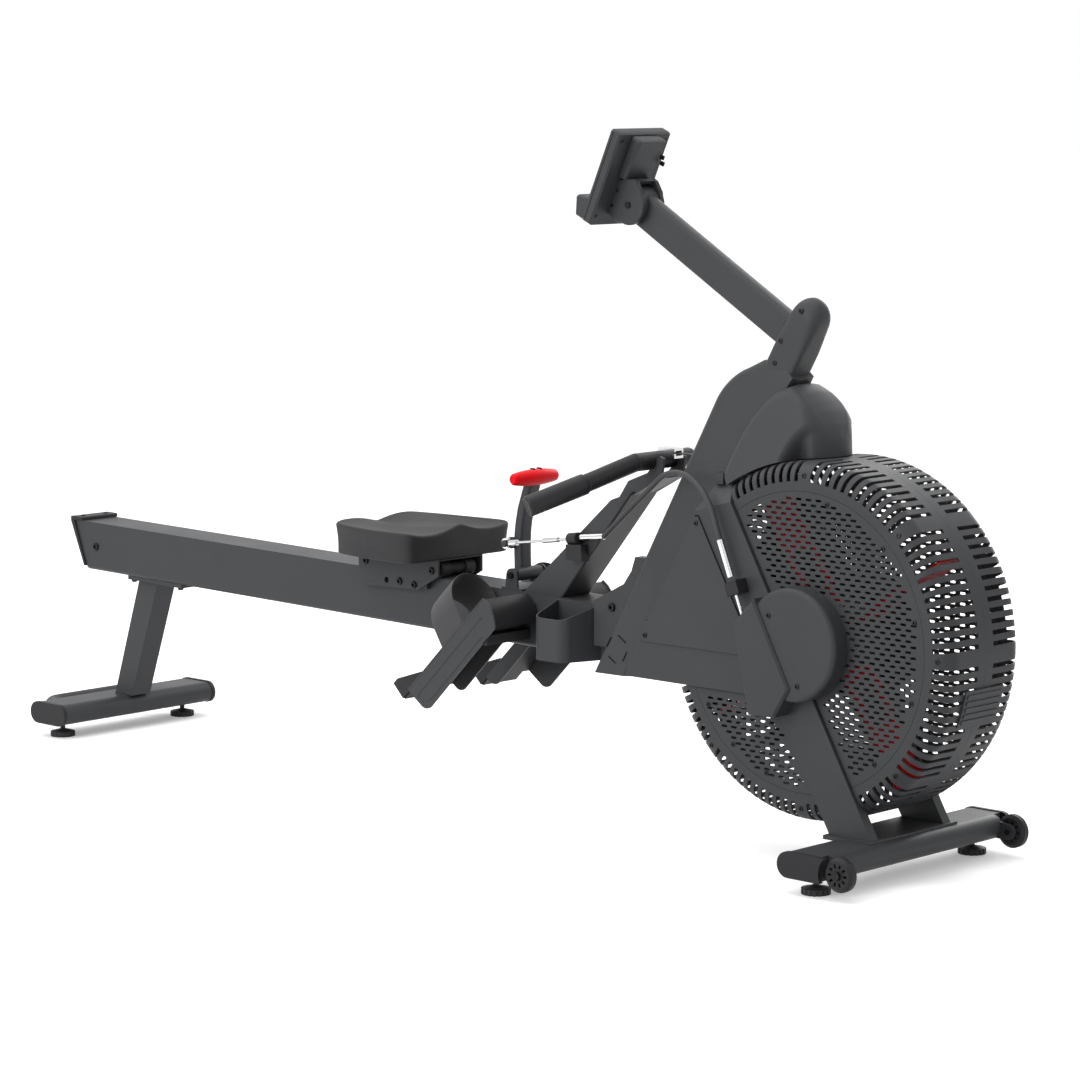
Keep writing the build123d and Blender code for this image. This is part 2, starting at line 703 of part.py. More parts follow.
with BuildPart() as lever_rod:
    with BuildSketch(facing(EYE[0], EYE[1] + 4, EYE[2], NEAR)):
        Circle(10)
        Circle(4 + RUN, mode=Mode.SUBTRACT)
    extrude(amount=8)
    for start, end, radius in ((9, 30, 5.5), (29, 187, 2.5), (104, 146, 4.5)):
        with BuildLine() as rod_axis:
            Line(Vector(*EYE) + ROD_DIR * start, Vector(*EYE) + ROD_DIR * end)
        with BuildSketch(Plane(origin=rod_axis.line @ 0, z_dir=ROD_DIR)):
            Circle(radius)
        sweep(path=rod_axis.line)
keep(lever_rod, "lever_rod")

# Cable clamp on the post, ferrules, sheath and the lower rod at the hub
with BuildPart() as cable_clamps:
    with BuildSketch(upright(-38)):
        Polygon((271, 478), (271, 506), (308, 508), (311, 478), align=None)
    extrude(amount=20)
    with BuildSketch(Plane(origin=CLAMP, z_dir=ROD_DIR)):
        Circle(11)
    extrude(amount=24)
    with BuildSketch(Plane(origin=CLAMP, z_dir=ROD_DIR)):
        Circle(7)
    extrude(amount=60, both=True, mode=Mode.SUBTRACT)
    add(handle_post.part, mode=Mode.SUBTRACT)
    with BuildSketch(upright(-FRAME_OUT)):
        Polygon((717, 486), (742, 496), (750, 474), (725, 464), align=None)
    extrude(amount=28)
    with BuildSketch(Plane(origin=Vector(*LOWER_END) - LOWER_DIR * 20, z_dir=LOWER_DIR)):
        Circle(7)
    extrude(amount=80, mode=Mode.SUBTRACT)
keep(cable_clamps, "cable_clamps")

with BuildPart() as cable_ferrules:
    for start, end in (((296, -46, 519.5), SHEATH_START), (SHEATH_END, LOWER_END)):
        with BuildLine() as ferrule_axis:
            Line(start, end)
        with BuildSketch(Plane(origin=start, z_dir=ferrule_axis.line % 0)):
            Circle(6)
        sweep(path=ferrule_axis.line)
keep(cable_ferrules, "cable_ferrules")

with BuildPart() as cable_sheath:
    with BuildLine() as sheath_route:
        FilletPolyline(SHEATH_START, SHEATH_TOP, SHEATH_END, radius=110)
    with BuildSketch(Plane(origin=SHEATH_START, z_dir=sheath_route.line % 0)):
        Circle(CABLE_R)
    sweep(path=sheath_route.line)
    add(cable_ferrules.part, mode=Mode.SUBTRACT)
keep(cable_sheath, "cable_sheath")

with BuildPart() as lower_rod:
    with BuildSketch(Plane(origin=Vector(*LOWER_END) + LOWER_DIR * 16, z_dir=LOWER_DIR)):
        Circle(3)
    extrude(amount=72)
keep(lower_rod, "lower_rod")

# Footplates: sloping trays bolted to the rail's sides, with sliding heel cups and wide straps
SLOPE = Vector(PLATE_TOE[0] - PLATE_HEEL[0], 0, PLATE_TOE[1] - PLATE_HEEL[1])
PLATE_LONG = SLOPE.length
SLOPE = SLOPE / PLATE_LONG
LIFT = Vector(-SLOPE.Z, 0, SLOPE.X)


def footbed(along=0, lift=0):
    """Plane on the footplate's face, drawn along the slope and across the machine."""
    heel = Vector(PLATE_HEEL[0], 0, PLATE_HEEL[1])
    return Plane(origin=heel + SLOPE * along + LIFT * lift, x_dir=SLOPE, z_dir=LIFT)


with BuildPart() as footplates:
    for side in SIDES.values():
        with BuildSketch(footbed()):
            with Locations((PLATE_LONG / 2, side * (PLATE_IN + PLATE_OUT) / 2)):
                Rectangle(PLATE_LONG, PLATE_OUT - PLATE_IN)
        extrude(amount=-3)
        for edge in (PLATE_IN, PLATE_OUT - 3):
            with BuildSketch(upright(side * edge)):
                with BuildLine():
                    Line(PLATE_HEEL, PLATE_TOE)
                    ThreePointArc(PLATE_TOE, (185, 384), (193, 355))
                    Line((193, 355), (33, 195))
                    ThreePointArc((33, 195), (19, 187), (4, 190))
                    Line((4, 190), PLATE_HEEL)
                make_face()
            extrude(amount=-side * 3)
        with BuildSketch(upright(side * PLATE_IN)):
            with BuildLine():
                ThreePointArc(PLATE_TOE, (185, 384), (193, 355))
                Line((193, 355), (190, 355))
                ThreePointArc((190, 355), (182.5, 382), (161, 402))
                Line((161, 402), PLATE_TOE)
            make_face()
        extrude(amount=-side * (PLATE_OUT - PLATE_IN))
        with Locations((156, side * (PLATE_IN + PLATE_OUT) / 2, 330)):
            Box(30, PLATE_OUT - PLATE_IN - 2, 18)
keep(footplates, "footplates")

with BuildPart() as foot_straps:
    for side in SIDES.values():
        with BuildSketch(Plane(origin=footbed(112).origin, x_dir=(0, 1, 0), z_dir=SLOPE)):
            with BuildLine():
                Line((side * 47.5, 0), (side * 47.5, 42))
                ThreePointArc((side * 47.5, 42), (side * 103.75, 98), (side * 160, 42))
                Polyline((side * 160, 42), (side * 160, 0), (side * 157, 0), (side * 157, 42))
                ThreePointArc((side * 157, 42), (side * 103.75, 95), (side * 50.5, 42))
                Polyline((side * 50.5, 42), (side * 50.5, 0), (side * 47.5, 0))
            make_face()
        extrude(amount=75)
keep(foot_straps, "foot_straps")

for word, side in SIDES.items():
    with BuildPart() as heel_cup:
        with BuildSketch(footbed(lift=0.3)):
            with Locations((50, side * 104)):
                Rectangle(160, 92)
        extrude(amount=2.5)
        with BuildSketch(footbed(lift=2.6)):
            with Locations((8, side * 104)):
                Rectangle(76, 100)
                Rectangle(76, 92, mode=Mode.SUBTRACT)
            with Locations((-28, side * 104)):
                Rectangle(4, 100)
        extrude(amount=36)
        with BuildSketch(upright(0)):
            Polygon(
                *[
                    (footbed(along, lift).origin.X, footbed(along, lift).origin.Z)
                    for along, lift in ((46, 8), (50, 60), (-16, 60), (-16, 39))
                ],
                align=None,
            )
        extrude(amount=200, both=True, mode=Mode.SUBTRACT)
    keep(heel_cup, f"heel_cup_{word}")

# Cup holder on the rail's near side, an open pocket with a sloping rim
with BuildPart() as cup_holder:
    with BuildSketch(Plane.XY.offset(300)) as pocket_plan:
        Polygon((240, -RAIL_HALF), (245, -121), (320, -121), (346, -RAIL_HALF), align=None)
        fillet(vertices().sort_by(Axis.Y)[:2], 24)
    extrude(amount=106)
    with BuildSketch(Plane.XY.offset(303)):
        add(pocket_plan.sketch)
        offset(amount=-3, mode=Mode.REPLACE)
    extrude(amount=120, mode=Mode.SUBTRACT)
    with BuildSketch(Plane.YZ.offset(200)):
        Polygon((-40, 403), (-130, 374), (-130, 420), (-40, 420), align=None)
    extrude(amount=200, mode=Mode.SUBTRACT)
keep(cup_holder, "cup_holder")

# Seat: cushion with two thigh hollows, pan and carriage on four rollers
with BuildPart() as seat_cushion:
    for x, half, edge, dip, ridge in (
        (SEAT_FRONT, 118, 34, 36, 46), (-90, 134, 40, 42, 54),
        (-190, 132, 46, 42, 52), (SEAT_REAR, 96, 44, 49, 50),
    ):
        with BuildSketch(Plane(origin=(x, 0, SEAT_BASE), x_dir=(0, 1, 0), z_dir=(1, 0, 0))):
            with BuildLine():
                ThreePointArc((-half, edge), (-half * 0.5, dip), (0, ridge))
                ThreePointArc((0, ridge), (half * 0.5, dip), (half, edge))
                Polyline((half, edge), (half - 5, 0), (5 - half, 0), (-half, edge))
            make_face()
    loft()
keep(seat_cushion, "seat_cushion")

with BuildPart() as carriage:
    with BuildSketch(Plane.XY.offset(SEAT_BASE - 2.2)):
        with Locations((-161.5, 0)):
            Rectangle(215, 120)
    extrude(amount=2.2)
    for side in SIDES.values():
        with BuildSketch(upright(side * 56)):
            Polygon(
                (-269, SEAT_BASE), (-54, SEAT_BASE), (-54, 415), (-108, 385), (-258, 381), (-269, 392),
                align=None,
            )
            with Locations((-193, 396)):
                Circle(6, mode=Mode.SUBTRACT)
        extrude(amount=-side * 4)
        for x in (-100, -225):
            with Locations((x, side * 50.5, 394)):
                Box(22, 11, 12)
keep(carriage, "seat_carriage")

with BuildPart() as seat_axles:
    for x in (FRONT_AXLE_X, REAR_AXLE_X):
        with BuildSketch(upright(0)):
            with Locations((x, axle_height(x))):
                Circle(5)
        extrude(amount=56, both=True)
keep(seat_axles, "seat_axles")

for word, x in (("front", FRONT_AXLE_X), ("rear", REAR_AXLE_X)):
    with BuildPart() as rollers:
        with BuildSketch(Plane(origin=(x, 0, axle_height(x)), x_dir=(1, 0, 0), z_dir=(0, 0, 1))):
            Polygon(
                (5 + RUN, -44), (ROLLER_R, -44), (ROLLER_R, -20), (11, -20), (11, 20), (ROLLER_R, 20),
                (ROLLER_R, 44), (5 + RUN, 44), align=None,
            )
        revolve(axis=Axis((x, 0, axle_height(x)), (0, 1, 0)))
    keep(rollers, f"seat_rollers_{word}")

# Ribbed rubber pad on the front of the fan cage
with BuildPart() as rim_pad:
    bands = [(-22, 12, FAN_R, FAN_R + 4, 52)]
    bands += [(-21 + 2.1 * rib, 1.3, FAN_R + 3, FAN_R + 5.5, 46) for rib in range(5)]
    for turn, arc, inner, outer, half in bands:
        c, s = math.cos(math.radians(turn)), math.sin(math.radians(turn))
        with BuildSketch(Plane(origin=(FAN_X, 0, FAN_Z), x_dir=(c, 0, s), z_dir=(-s, 0, c))):
            Polygon((inner, -half), (outer, -half), (outer, half), (inner, half), align=None)
        revolve(axis=Axis((FAN_X, 0, FAN_Z), (0, -1, 0)), revolution_arc=arc)
keep(rim_pad, "rim_pad")

# Screws and bolts, one node for each kind
def around(radius, turn):
    """X and Z of a point round the fan's axle."""
    return FAN_X + radius * math.cos(math.radians(turn)), FAN_Z + radius * math.sin(math.radians(turn))


with BuildPart() as cover_screws:
    for side in SIDES.values():
        hub_face = FAN_FACE + HUB_DEEP[side]
        spots = [(631, 113, 581), (513.5, 113, 372), (791, 27, 952), (747, 27, 899), (734, 27, 860)]
        spots += [(818, hub_face, 442), (882, hub_face, 327)]
        for turn in (-50, -18, 14, 46, 78, 212, 232, 252):
            x, z = around(246, turn)
            spots.append((x, FAN_FACE, z))
        for x, y, z in spots:
            with BuildSketch(facing(x, side * y, z, side)):
                RegularPolygon(4.5, 6)
            extrude(amount=2.5)
        for turn in (0, 45, 90, 180, 225, 270, 315):
            x, z = around(286, turn)
            outward = (around(1, turn)[0] - FAN_X, around(1, turn)[1] - FAN_Z)
            slant = Vector(0.258 * outward[0], side * 0.966, 0.258 * outward[1])
            with BuildSketch(Plane(origin=(x, side * 102.95, z), z_dir=slant)):
                RegularPolygon(4.5, 6)
            extrude(amount=2)
    for y in (-30, 30):
        with BuildSketch(Plane(origin=(-1129, y, END_TOP + 7.4), z_dir=(0, 0, 1))):
            RegularPolygon(4.5, 6)
        extrude(amount=2)
keep(cover_screws, "cover_screws")

with BuildPart() as frame_bolts:
    for side in SIDES.values():
        for x, y, z in ((-1071, RAIL_HALF, 378), (391, RAIL_HALF + 20, 404)):
            with BuildSketch(facing(x, side * y, z, side)):
                RegularPolygon(8, 6)
            extrude(amount=5)
        for x in (-966, -822):
            with BuildSketch(Plane(origin=(x, side * 31, rail_top(x) - RAIL_DEEP - 8.12), z_dir=(0, 0, -1))):
                RegularPolygon(6, 6)
            extrude(amount=5)
keep(frame_bolts, "frame_bolts")

with BuildPart() as seat_bolts:
    for side in SIDES.values():
        for x, z in (
            (-157, 397), (-118, 394), (FRONT_AXLE_X, axle_height(FRONT_AXLE_X)),
            (REAR_AXLE_X, axle_height(REAR_AXLE_X)),
        ):
            with BuildSketch(facing(x, side * 60, z, side)):
                RegularPolygon(7, 6)
            extrude(amount=4)
keep(seat_bolts, "seat_bolts")
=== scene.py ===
# %% [markdown]
# # Air rowing machine
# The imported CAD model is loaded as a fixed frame. Its rigid pieces stay where they are and get their
# finishes here, and the soft or finely pierced pieces are modelled again on top of it.

import math

import bmesh
import bpy
import numpy as np
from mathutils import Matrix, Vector
from mathutils.geometry import delaunay_2d_cdt


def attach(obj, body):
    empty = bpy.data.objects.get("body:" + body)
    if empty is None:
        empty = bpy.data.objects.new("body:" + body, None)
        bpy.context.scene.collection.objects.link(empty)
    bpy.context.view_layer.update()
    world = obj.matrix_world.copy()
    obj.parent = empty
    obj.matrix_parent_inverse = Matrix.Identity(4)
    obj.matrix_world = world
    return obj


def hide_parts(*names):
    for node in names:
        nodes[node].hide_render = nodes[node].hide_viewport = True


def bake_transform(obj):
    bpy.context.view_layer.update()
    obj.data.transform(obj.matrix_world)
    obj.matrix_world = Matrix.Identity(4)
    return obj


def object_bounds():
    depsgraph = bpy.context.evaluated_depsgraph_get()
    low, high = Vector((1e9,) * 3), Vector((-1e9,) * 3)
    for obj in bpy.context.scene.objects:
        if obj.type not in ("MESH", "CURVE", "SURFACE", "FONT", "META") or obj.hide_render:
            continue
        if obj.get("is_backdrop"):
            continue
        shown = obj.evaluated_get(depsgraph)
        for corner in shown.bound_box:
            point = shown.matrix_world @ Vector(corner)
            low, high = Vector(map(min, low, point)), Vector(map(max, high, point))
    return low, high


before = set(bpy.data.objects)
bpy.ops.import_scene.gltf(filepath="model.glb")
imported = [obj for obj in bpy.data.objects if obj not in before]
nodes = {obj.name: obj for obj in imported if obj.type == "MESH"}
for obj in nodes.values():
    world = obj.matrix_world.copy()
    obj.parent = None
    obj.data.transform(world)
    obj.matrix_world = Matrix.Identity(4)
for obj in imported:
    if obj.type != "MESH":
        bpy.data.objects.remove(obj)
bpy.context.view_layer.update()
MM = 0.001
# X and Z of the fan's axle in mm, and the sign of Y on either side
FAN = np.array((863.0, 395.0))
SIDES = ((-1, "near"), (1, "far"))

# %% [markdown]
# ## Camera
# The photograph was taken from the front right with a long lens, a little above the seat.

# %% Camera
camera_data = bpy.data.cameras.new("camera")
camera_data.lens = 121.243
camera_data.sensor_width = 36
camera = bpy.data.objects.new("camera", camera_data)
camera.location = (4.72944, -4.84277, 1.37213)
camera.rotation_euler = (math.radians(82.525643), 0, math.radians(43.38379))
bpy.context.scene.collection.objects.link(camera)
bpy.context.scene.camera = camera
print("camera at", [round(v, 3) for v in camera.location])


# %% [markdown]
# ## Colours and nodes
# Colours are written as sRGB hex values, as a paint card gives them, and one function turns them to the
# linear values that the shaders need. A second one adds any shader node with its settings and links.

# %% Colour and node helpers
def linear(hex_code):
    """Linear RGBA of an sRGB hex colour: c / 12.92 below 0.04045, else ((c + 0.055) / 1.055) ** 2.4."""
    parts = [int(hex_code[i:i + 2], 16) / 255 for i in (1, 3, 5)]
    return [c / 12.92 if c <= 0.04045 else ((c + 0.055) / 1.055) ** 2.4 for c in parts] + [1.0]


def add_node(tree, kind, inputs=None, **settings):
    """Add a node of a kind, set its properties, and link or set its inputs by name or number."""
    made = tree.nodes.new(kind)
    for name, value in settings.items():
        setattr(made, name, value)
    for key, value in (inputs or {}).items():
        if isinstance(value, bpy.types.NodeSocket):
            tree.links.new(value, made.inputs[key])
        else:
            made.inputs[key].default_value = value
    return made


def new_material(name):
    """Empty node material with its output node, returned as material, tree and output."""
    material = bpy.data.materials.new(name)
    material.use_nodes = True
    material.node_tree.nodes.clear()
    return material, material.node_tree, add_node(material.node_tree, "ShaderNodeOutputMaterial")


print("charcoal in linear", [round(c, 4) for c in linear("#3c3c3e")])

# %% [markdown]
# ## Studio
# A white floor and a white surround, as for a catalogue picture. The camera and mirrored rays see the
# surround as plain white, and the floor keeps the shadow. The surround lights the object from its seat
# end and from above. Soft lamps stand above it and on either side, with a weak one in front, so the fan's
# end stays darker.

# %% Studio
bpy.context.scene.view_settings.view_transform = "Standard"
LIGHT_SIDE, DIM, BRIGHT = (-0.60, 0.0, 0.80), 0.15, 1.25
FLOOR_REACH, FLOOR_SEEN, FLOOR_BOUNCE, FLOOR_LIFT = 40, 0.86, 0.5, 0.22


def seen_rays(tree):
    """Socket that is 1 for the rays that show the background: camera, glossy and transmission rays."""
    path = add_node(tree, "ShaderNodeLightPath")
    mirrored = add_node(tree, "ShaderNodeMath", {0: path.outputs["Is Glossy Ray"],
                                                 1: path.outputs["Is Transmission Ray"]}, operation="MAXIMUM")
    both = add_node(tree, "ShaderNodeMath", {0: path.outputs["Is Camera Ray"], 1: mirrored.outputs[0]},
                    operation="MAXIMUM")
    return both.outputs[0]


world = bpy.data.worlds.new("studio")
bpy.context.scene.world = world
world.use_nodes = True
tree = world.node_tree
tree.nodes.clear()
seen = seen_rays(tree)
toward = add_node(tree, "ShaderNodeTexCoord")
facing = add_node(tree, "ShaderNodeVectorMath", {0: toward.outputs["Generated"], 1: LIGHT_SIDE},
                  operation="DOT_PRODUCT")
level = add_node(tree, "ShaderNodeMapRange", {
    "Value": facing.outputs["Value"], "From Min": -1.0, "From Max": 1.0, "To Min": DIM, "To Max": BRIGHT})
plain = add_node(tree, "ShaderNodeBackground", {"Color": (1, 1, 1, 1), "Strength": level.outputs["Result"]})
white = add_node(tree, "ShaderNodeBackground", {"Color": (1, 1, 1, 1), "Strength": 1.0})
mix = add_node(tree, "ShaderNodeMixShader", {0: seen, 1: plain.outputs[0], 2: white.outputs[0]})
add_node(tree, "ShaderNodeOutputWorld", {0: mix.outputs[0]})

floor_mesh = bpy.data.meshes.new("floor")
corners = [(x * FLOOR_REACH, y * FLOOR_REACH, 0) for x, y in ((-1, -1), (1, -1), (1, 1), (-1, 1))]
floor_mesh.from_pydata(corners, [], [(0, 1, 2, 3)])
floor = bpy.data.objects.new("floor", floor_mesh)
bpy.context.scene.collection.objects.link(floor)
floor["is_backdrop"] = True
floor_paint, tree, output = new_material("floor_paper")
seen = seen_rays(tree)
tone = add_node(tree, "ShaderNodeMapRange", {"Value": seen, "To Min": FLOOR_BOUNCE, "To Max": FLOOR_SEEN})
paper = add_node(tree, "ShaderNodeBsdfDiffuse", {"Color": tone.outputs["Result"]})
lift = add_node(tree, "ShaderNodeMath", {0: seen, 1: FLOOR_LIFT}, operation="MULTIPLY")
glow = add_node(tree, "ShaderNodeEmission", {"Color": (1, 1, 1, 1), "Strength": lift.outputs[0]})
both = add_node(tree, "ShaderNodeAddShader", {0: paper.outputs[0], 1: glow.outputs[0]})
tree.links.new(both.outputs[0], output.inputs["Surface"])
floor_mesh.materials.append(floor_paint)


def soft_lamp(name, place, target, size, watts):
    """Square area lamp that points from its place to a target."""
    data = bpy.data.lights.new(name, "AREA")
    data.size = size
    data.energy = watts
    lamp = bpy.data.objects.new(name, data)
    lamp.location = place
    lamp.rotation_euler = (Vector(target) - Vector(place)).to_track_quat("-Z", "Y").to_euler()
    bpy.context.scene.collection.objects.link(lamp)


soft_lamp("top_light", (-0.6, -0.6, 3.8), (0, 0, 0.4), 4.4, 112)
soft_lamp("near_light", (-0.4, -4.2, 2.0), (0.3, 0, 0.5), 2.6, 90)
soft_lamp("far_light", (-0.4, 4.2, 2.0), (0.3, 0, 0.5), 2.6, 90)
soft_lamp("front_light", (4.2, 0.6, 2.0), (0.8, 0, 0.5), 1.6, 14)


# %% [markdown]
# ## Finishes
# Almost everything is dark, so the finishes differ in their gloss and grain more than in their colour.
# Each one is a coated base with a fine grain that breaks up the highlights.

# %% Grained finish
CLOUDS_PER_METRE, GRAIN_DEPTH = 9.0, 0.15


def grained(name, colour, roughness, grain_mm, bump, spread=0.12, specular=0.18, metallic=0.0, coat=0.0):
    """Coated or moulded surface: cloudy colour, patchy roughness and an even grain of a given size in mm."""
    material, tree, output = new_material(name)
    place = add_node(tree, "ShaderNodeTexCoord")
    clouds = add_node(tree, "ShaderNodeTexNoise", {
        "Vector": place.outputs["Object"], "Scale": CLOUDS_PER_METRE, "Detail": 4.0})
    dark = [c * (1 - spread) for c in linear(colour)[:3]] + [1]
    light = [min(1, c * (1 + spread)) for c in linear(colour)[:3]] + [1]
    tint = add_node(tree, "ShaderNodeMix", {"Factor": clouds.outputs["Fac"], "A": dark, "B": light},
                    data_type="RGBA")
    patch = add_node(tree, "ShaderNodeMapRange", {
        "Value": clouds.outputs["Fac"], "From Min": 0.3, "From Max": 0.7,
        "To Min": roughness * 0.9, "To Max": min(1, roughness * 1.1)})
    grain = add_node(tree, "ShaderNodeTexNoise", {
        "Vector": place.outputs["Object"], "Scale": 1000 / grain_mm, "Detail": 2.0})
    relief = add_node(tree, "ShaderNodeBump", {
        "Height": grain.outputs["Fac"], "Strength": bump, "Distance": GRAIN_DEPTH * grain_mm * MM})
    shader = add_node(tree, "ShaderNodeBsdfPrincipled", {
        "Base Color": tint.outputs["Result"], "Roughness": patch.outputs["Result"], "Metallic": metallic,
        "Specular IOR Level": specular, "Coat Weight": coat, "Normal": relief.outputs["Normal"]})
    tree.links.new(shader.outputs[0], output.inputs["Surface"])
    return material


# Polyester powder coat on steel tube: satin with a faint orange peel
powder_coat = grained("powder_coated_steel", "#37383a", 0.42, 2.2, 0.25)
# The same coat, a little blacker, on the handle and its sleeves
handle_coat = grained("black_powder_coat", "#262628", 0.4, 1.8, 0.2)
# Injection moulded ABS with a spark-eroded grain
moulded_abs = grained("moulded_grey_abs", "#37383a", 0.48, 1.4, 0.35)
# Moulded polypropylene for the small hard pieces, darker and waxier
moulded_pp = grained("moulded_black_polypropylene", "#252527", 0.5, 1.2, 0.3)
# Vulcanised rubber: matt and even
black_rubber = grained("black_rubber", "#1f1f20", 0.78, 1.0, 0.4, specular=0.35)
# Smooth red ABS for the lever's grip and the fan's blades
red_abs = grained("gloss_red_abs", "#d00010", 0.36, 3.0, 0.08, spread=0.06, specular=0.12)
# Zinc plated and blackened screws
dark_zinc = grained("black_zinc_screws", "#2a2a2b", 0.35, 0.8, 0.2, metallic=0.8)
# Bright chromium plate on turned fittings
chrome = grained("chrome_plate", "#d6d6d8", 0.14, 4.0, 0.04, spread=0.04, metallic=1.0)
# Extruded vinyl jacket of the control cable
cable_vinyl = grained("grey_vinyl_jacket", "#3c3c3e", 0.45, 1.5, 0.15)
# Polyurethane skin of the moulded seat
seat_skin = grained("polyurethane_seat_skin", "#252527", 0.6, 1.6, 0.7, specular=0.26)
# Dark display window
display_glass = grained("display_window", "#0c0d0f", 0.08, 6.0, 0.02, coat=0.3)
# Near black painted shade: the shaded gaps of seams and the hollows of slots, sockets and keys
painted_shade_black = grained("shadow_black", "#0b0b0c", 0.8, 1.0, 0.1, specular=0.2)
print("finishes", len(bpy.data.materials))


# %% [markdown]
# ## Finishes on the rigid pieces
# Each CAD piece takes the finish of the real one.

# %% Finish the rigid pieces
FINISHES = [
    (powder_coat, ["mast", "side_frame_near", "side_frame_far", "front_base", "rear_leg", "rear_foot",
                   "lift_handle", "monitor_arm", "neck", "handle_post", "lever_tube", "lever_bracket", "rail",
                   "seat_carriage", "footplates", "triangle_covers"]),
    (moulded_abs, ["fan_cage_near", "fan_cage_far", "grille_near", "grille_far", "hub_cover_near",
                   "hub_cover_far", "nose_cover", "cup_holder", "monitor_case", "rim_pad",
                   "levelling_foot_front_near", "levelling_foot_front_far", "levelling_foot_rear_near",
                   "levelling_foot_rear_far"]),
    (moulded_pp, ["foot_caps", "end_stop", "heel_cup_near", "heel_cup_far", "cable_clamps", "strap_reel",
                  "transport_wheel_near", "transport_wheel_far"]),
    (black_rubber, ["handle_grips", "seat_rollers_front", "seat_rollers_rear"]),
    (handle_coat, ["handle_bar"]),
    (red_abs, ["lever_grip", "fan_rotor"]),
    (chrome, ["lever_rod", "lower_rod", "cable_ferrules", "handle_clevis"]),
    (dark_zinc, ["fan_axle", "pivot_pins", "seat_axles", "wheel_bolts", "cover_screws", "frame_bolts",
                 "seat_bolts"]),
    (cable_vinyl, ["cable_sheath"]),
    (seat_skin, ["seat_cushion"]),
    (display_glass, ["monitor_screen"]),
]
for finish, names in FINISHES:
    for name in names:
        nodes[name].data.materials.clear()
        nodes[name].data.materials.append(finish)

# The fan's hub is black, and only its blades are red
HUB_R = 0.0605
rotor = nodes["fan_rotor"].data
rotor.materials.append(moulded_pp)
middles = np.zeros(len(rotor.polygons) * 3)
rotor.polygons.foreach_get("center", middles)
middles = middles.reshape(-1, 3) + nodes["fan_rotor"].matrix_world.translation
is_hub = np.hypot(*(middles[:, [0, 2]] - FAN * MM).T) < HUB_R
rotor.polygons.foreach_set("material_index", is_hub.astype(np.int32))
print("finished", sum(len(names) for _, names in FINISHES), "CAD pieces, hub faces", int(is_hub.sum()))


# %% [markdown]
# ## Surfaces from rings
# Most new pieces are stacks of rings worked out with numpy. Neighbouring rings are joined by quads, and
# the first and the last ring are closed with a fan of triangles. Plates are filled from their outline.
# Faces that meet at a sharp angle keep a crisp edge.

# %% Ring surfaces
def piece_from(name, points, faces, body, finish, slot, crisp=35):
    """Mesh object from points in mm and faces: turned outwards, smooth up to an angle, riding on a body."""
    mesh = bpy.data.meshes.new(name)
    mesh.from_pydata((np.asarray(points, float) * MM).tolist(), [], faces)
    shape = bmesh.new()
    shape.from_mesh(mesh)
    bmesh.ops.recalc_face_normals(shape, faces=shape.faces)
    shape.to_mesh(mesh)
    shape.free()
    mesh.polygons.foreach_set("use_smooth", np.ones(len(mesh.polygons), bool))
    mesh.set_sharp_from_angle(angle=math.radians(crisp))
    mesh.materials.append(finish)
    made = bpy.data.objects.new(name, mesh)
    bpy.context.scene.collection.objects.link(made)
    if body:
        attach(made, body)
    return made


def closed_rings(rings):
    """Points and faces of an array (rings, points, 3), closed by fans round the middles of the end rings."""
    rows, columns = rings.shape[:2]
    row, column = np.meshgrid(np.arange(rows - 1), np.arange(columns), indexing="ij")
    after = (column + 1) % columns
    first, second = row * columns, (row + 1) * columns
    quads = [first + column, first + after, second + after, second + column]
    here, there, top = np.arange(columns), (np.arange(columns) + 1) % columns, (rows - 1) * columns
    fans = [(rows * columns, b, a) for a, b in zip(here, there)]
    fans += [(rows * columns + 1, top + a, top + b) for a, b in zip(here, there)]
    points = np.concatenate([rings.reshape(-1, 3), rings[:1].mean(1), rings[-1:].mean(1)])
    return points, np.stack(quads, -1).reshape(-1, 4).tolist() + np.array(fans).tolist()


def joined(shapes):
    """Several (points, faces) pairs as one pair."""
    points, faces, start = [], [], 0
    for some_points, some_faces in shapes:
        points.append(some_points)
        faces += [[start + i for i in face] for face in some_faces]
        start += len(some_points)
    return np.concatenate(points), faces


def rod(route, radius, around=10):
    """Round rod: each ring is route + radius * (cos t * side + sin t * up), across the route's direction."""
    route = np.asarray(route, float)
    run = np.gradient(route, axis=0)
    run /= np.linalg.norm(run, axis=1, keepdims=True)
    side = np.cross(run, (0, 1, 0.02))
    side /= np.linalg.norm(side, axis=1, keepdims=True)
    up = np.cross(run, side)
    turn = np.linspace(0, 2 * np.pi, around, endpoint=False)[None, :, None]
    return closed_rings(route[:, None] + radius * (np.cos(turn) * side[:, None] + np.sin(turn) * up[:, None]))


def prism(outline, low, high, bevel):
    """Convex outline in X and Z from y low to y high, each end drawn in by a bevel along the bisectors."""
    outline = np.asarray(outline, float)
    before, after = outline - np.roll(outline, 1, 0), np.roll(outline, -1, 0) - outline
    before /= np.linalg.norm(before, axis=1, keepdims=True)
    after /= np.linalg.norm(after, axis=1, keepdims=True)
    inward = after - before
    length = np.linalg.norm(inward, axis=1, keepdims=True)
    inset = outline + bevel * inward / length / np.sqrt(1 - (length / 2) ** 2)
    rings = [(inset, low), (outline, low + bevel), (outline, high - bevel), (inset, high)]
    return closed_rings(np.array([np.insert(flat, 1, y, axis=1) for flat, y in rings]))


def turned(start, direction, profile, around=40):
    """Turned piece: rings of given radius at given distances along a direction."""
    direction = np.asarray(direction, float) / np.linalg.norm(direction)
    side = np.cross(direction, (0, 0, 1))
    side /= np.linalg.norm(side)
    turn = np.linspace(0, 2 * np.pi, around, endpoint=False)[:, None]
    circle = np.cos(turn) * side + np.sin(turn) * np.cross(direction, side)
    rings = [np.asarray(start) + along * direction + radius * circle for along, radius in profile]
    return closed_rings(np.array(rings))


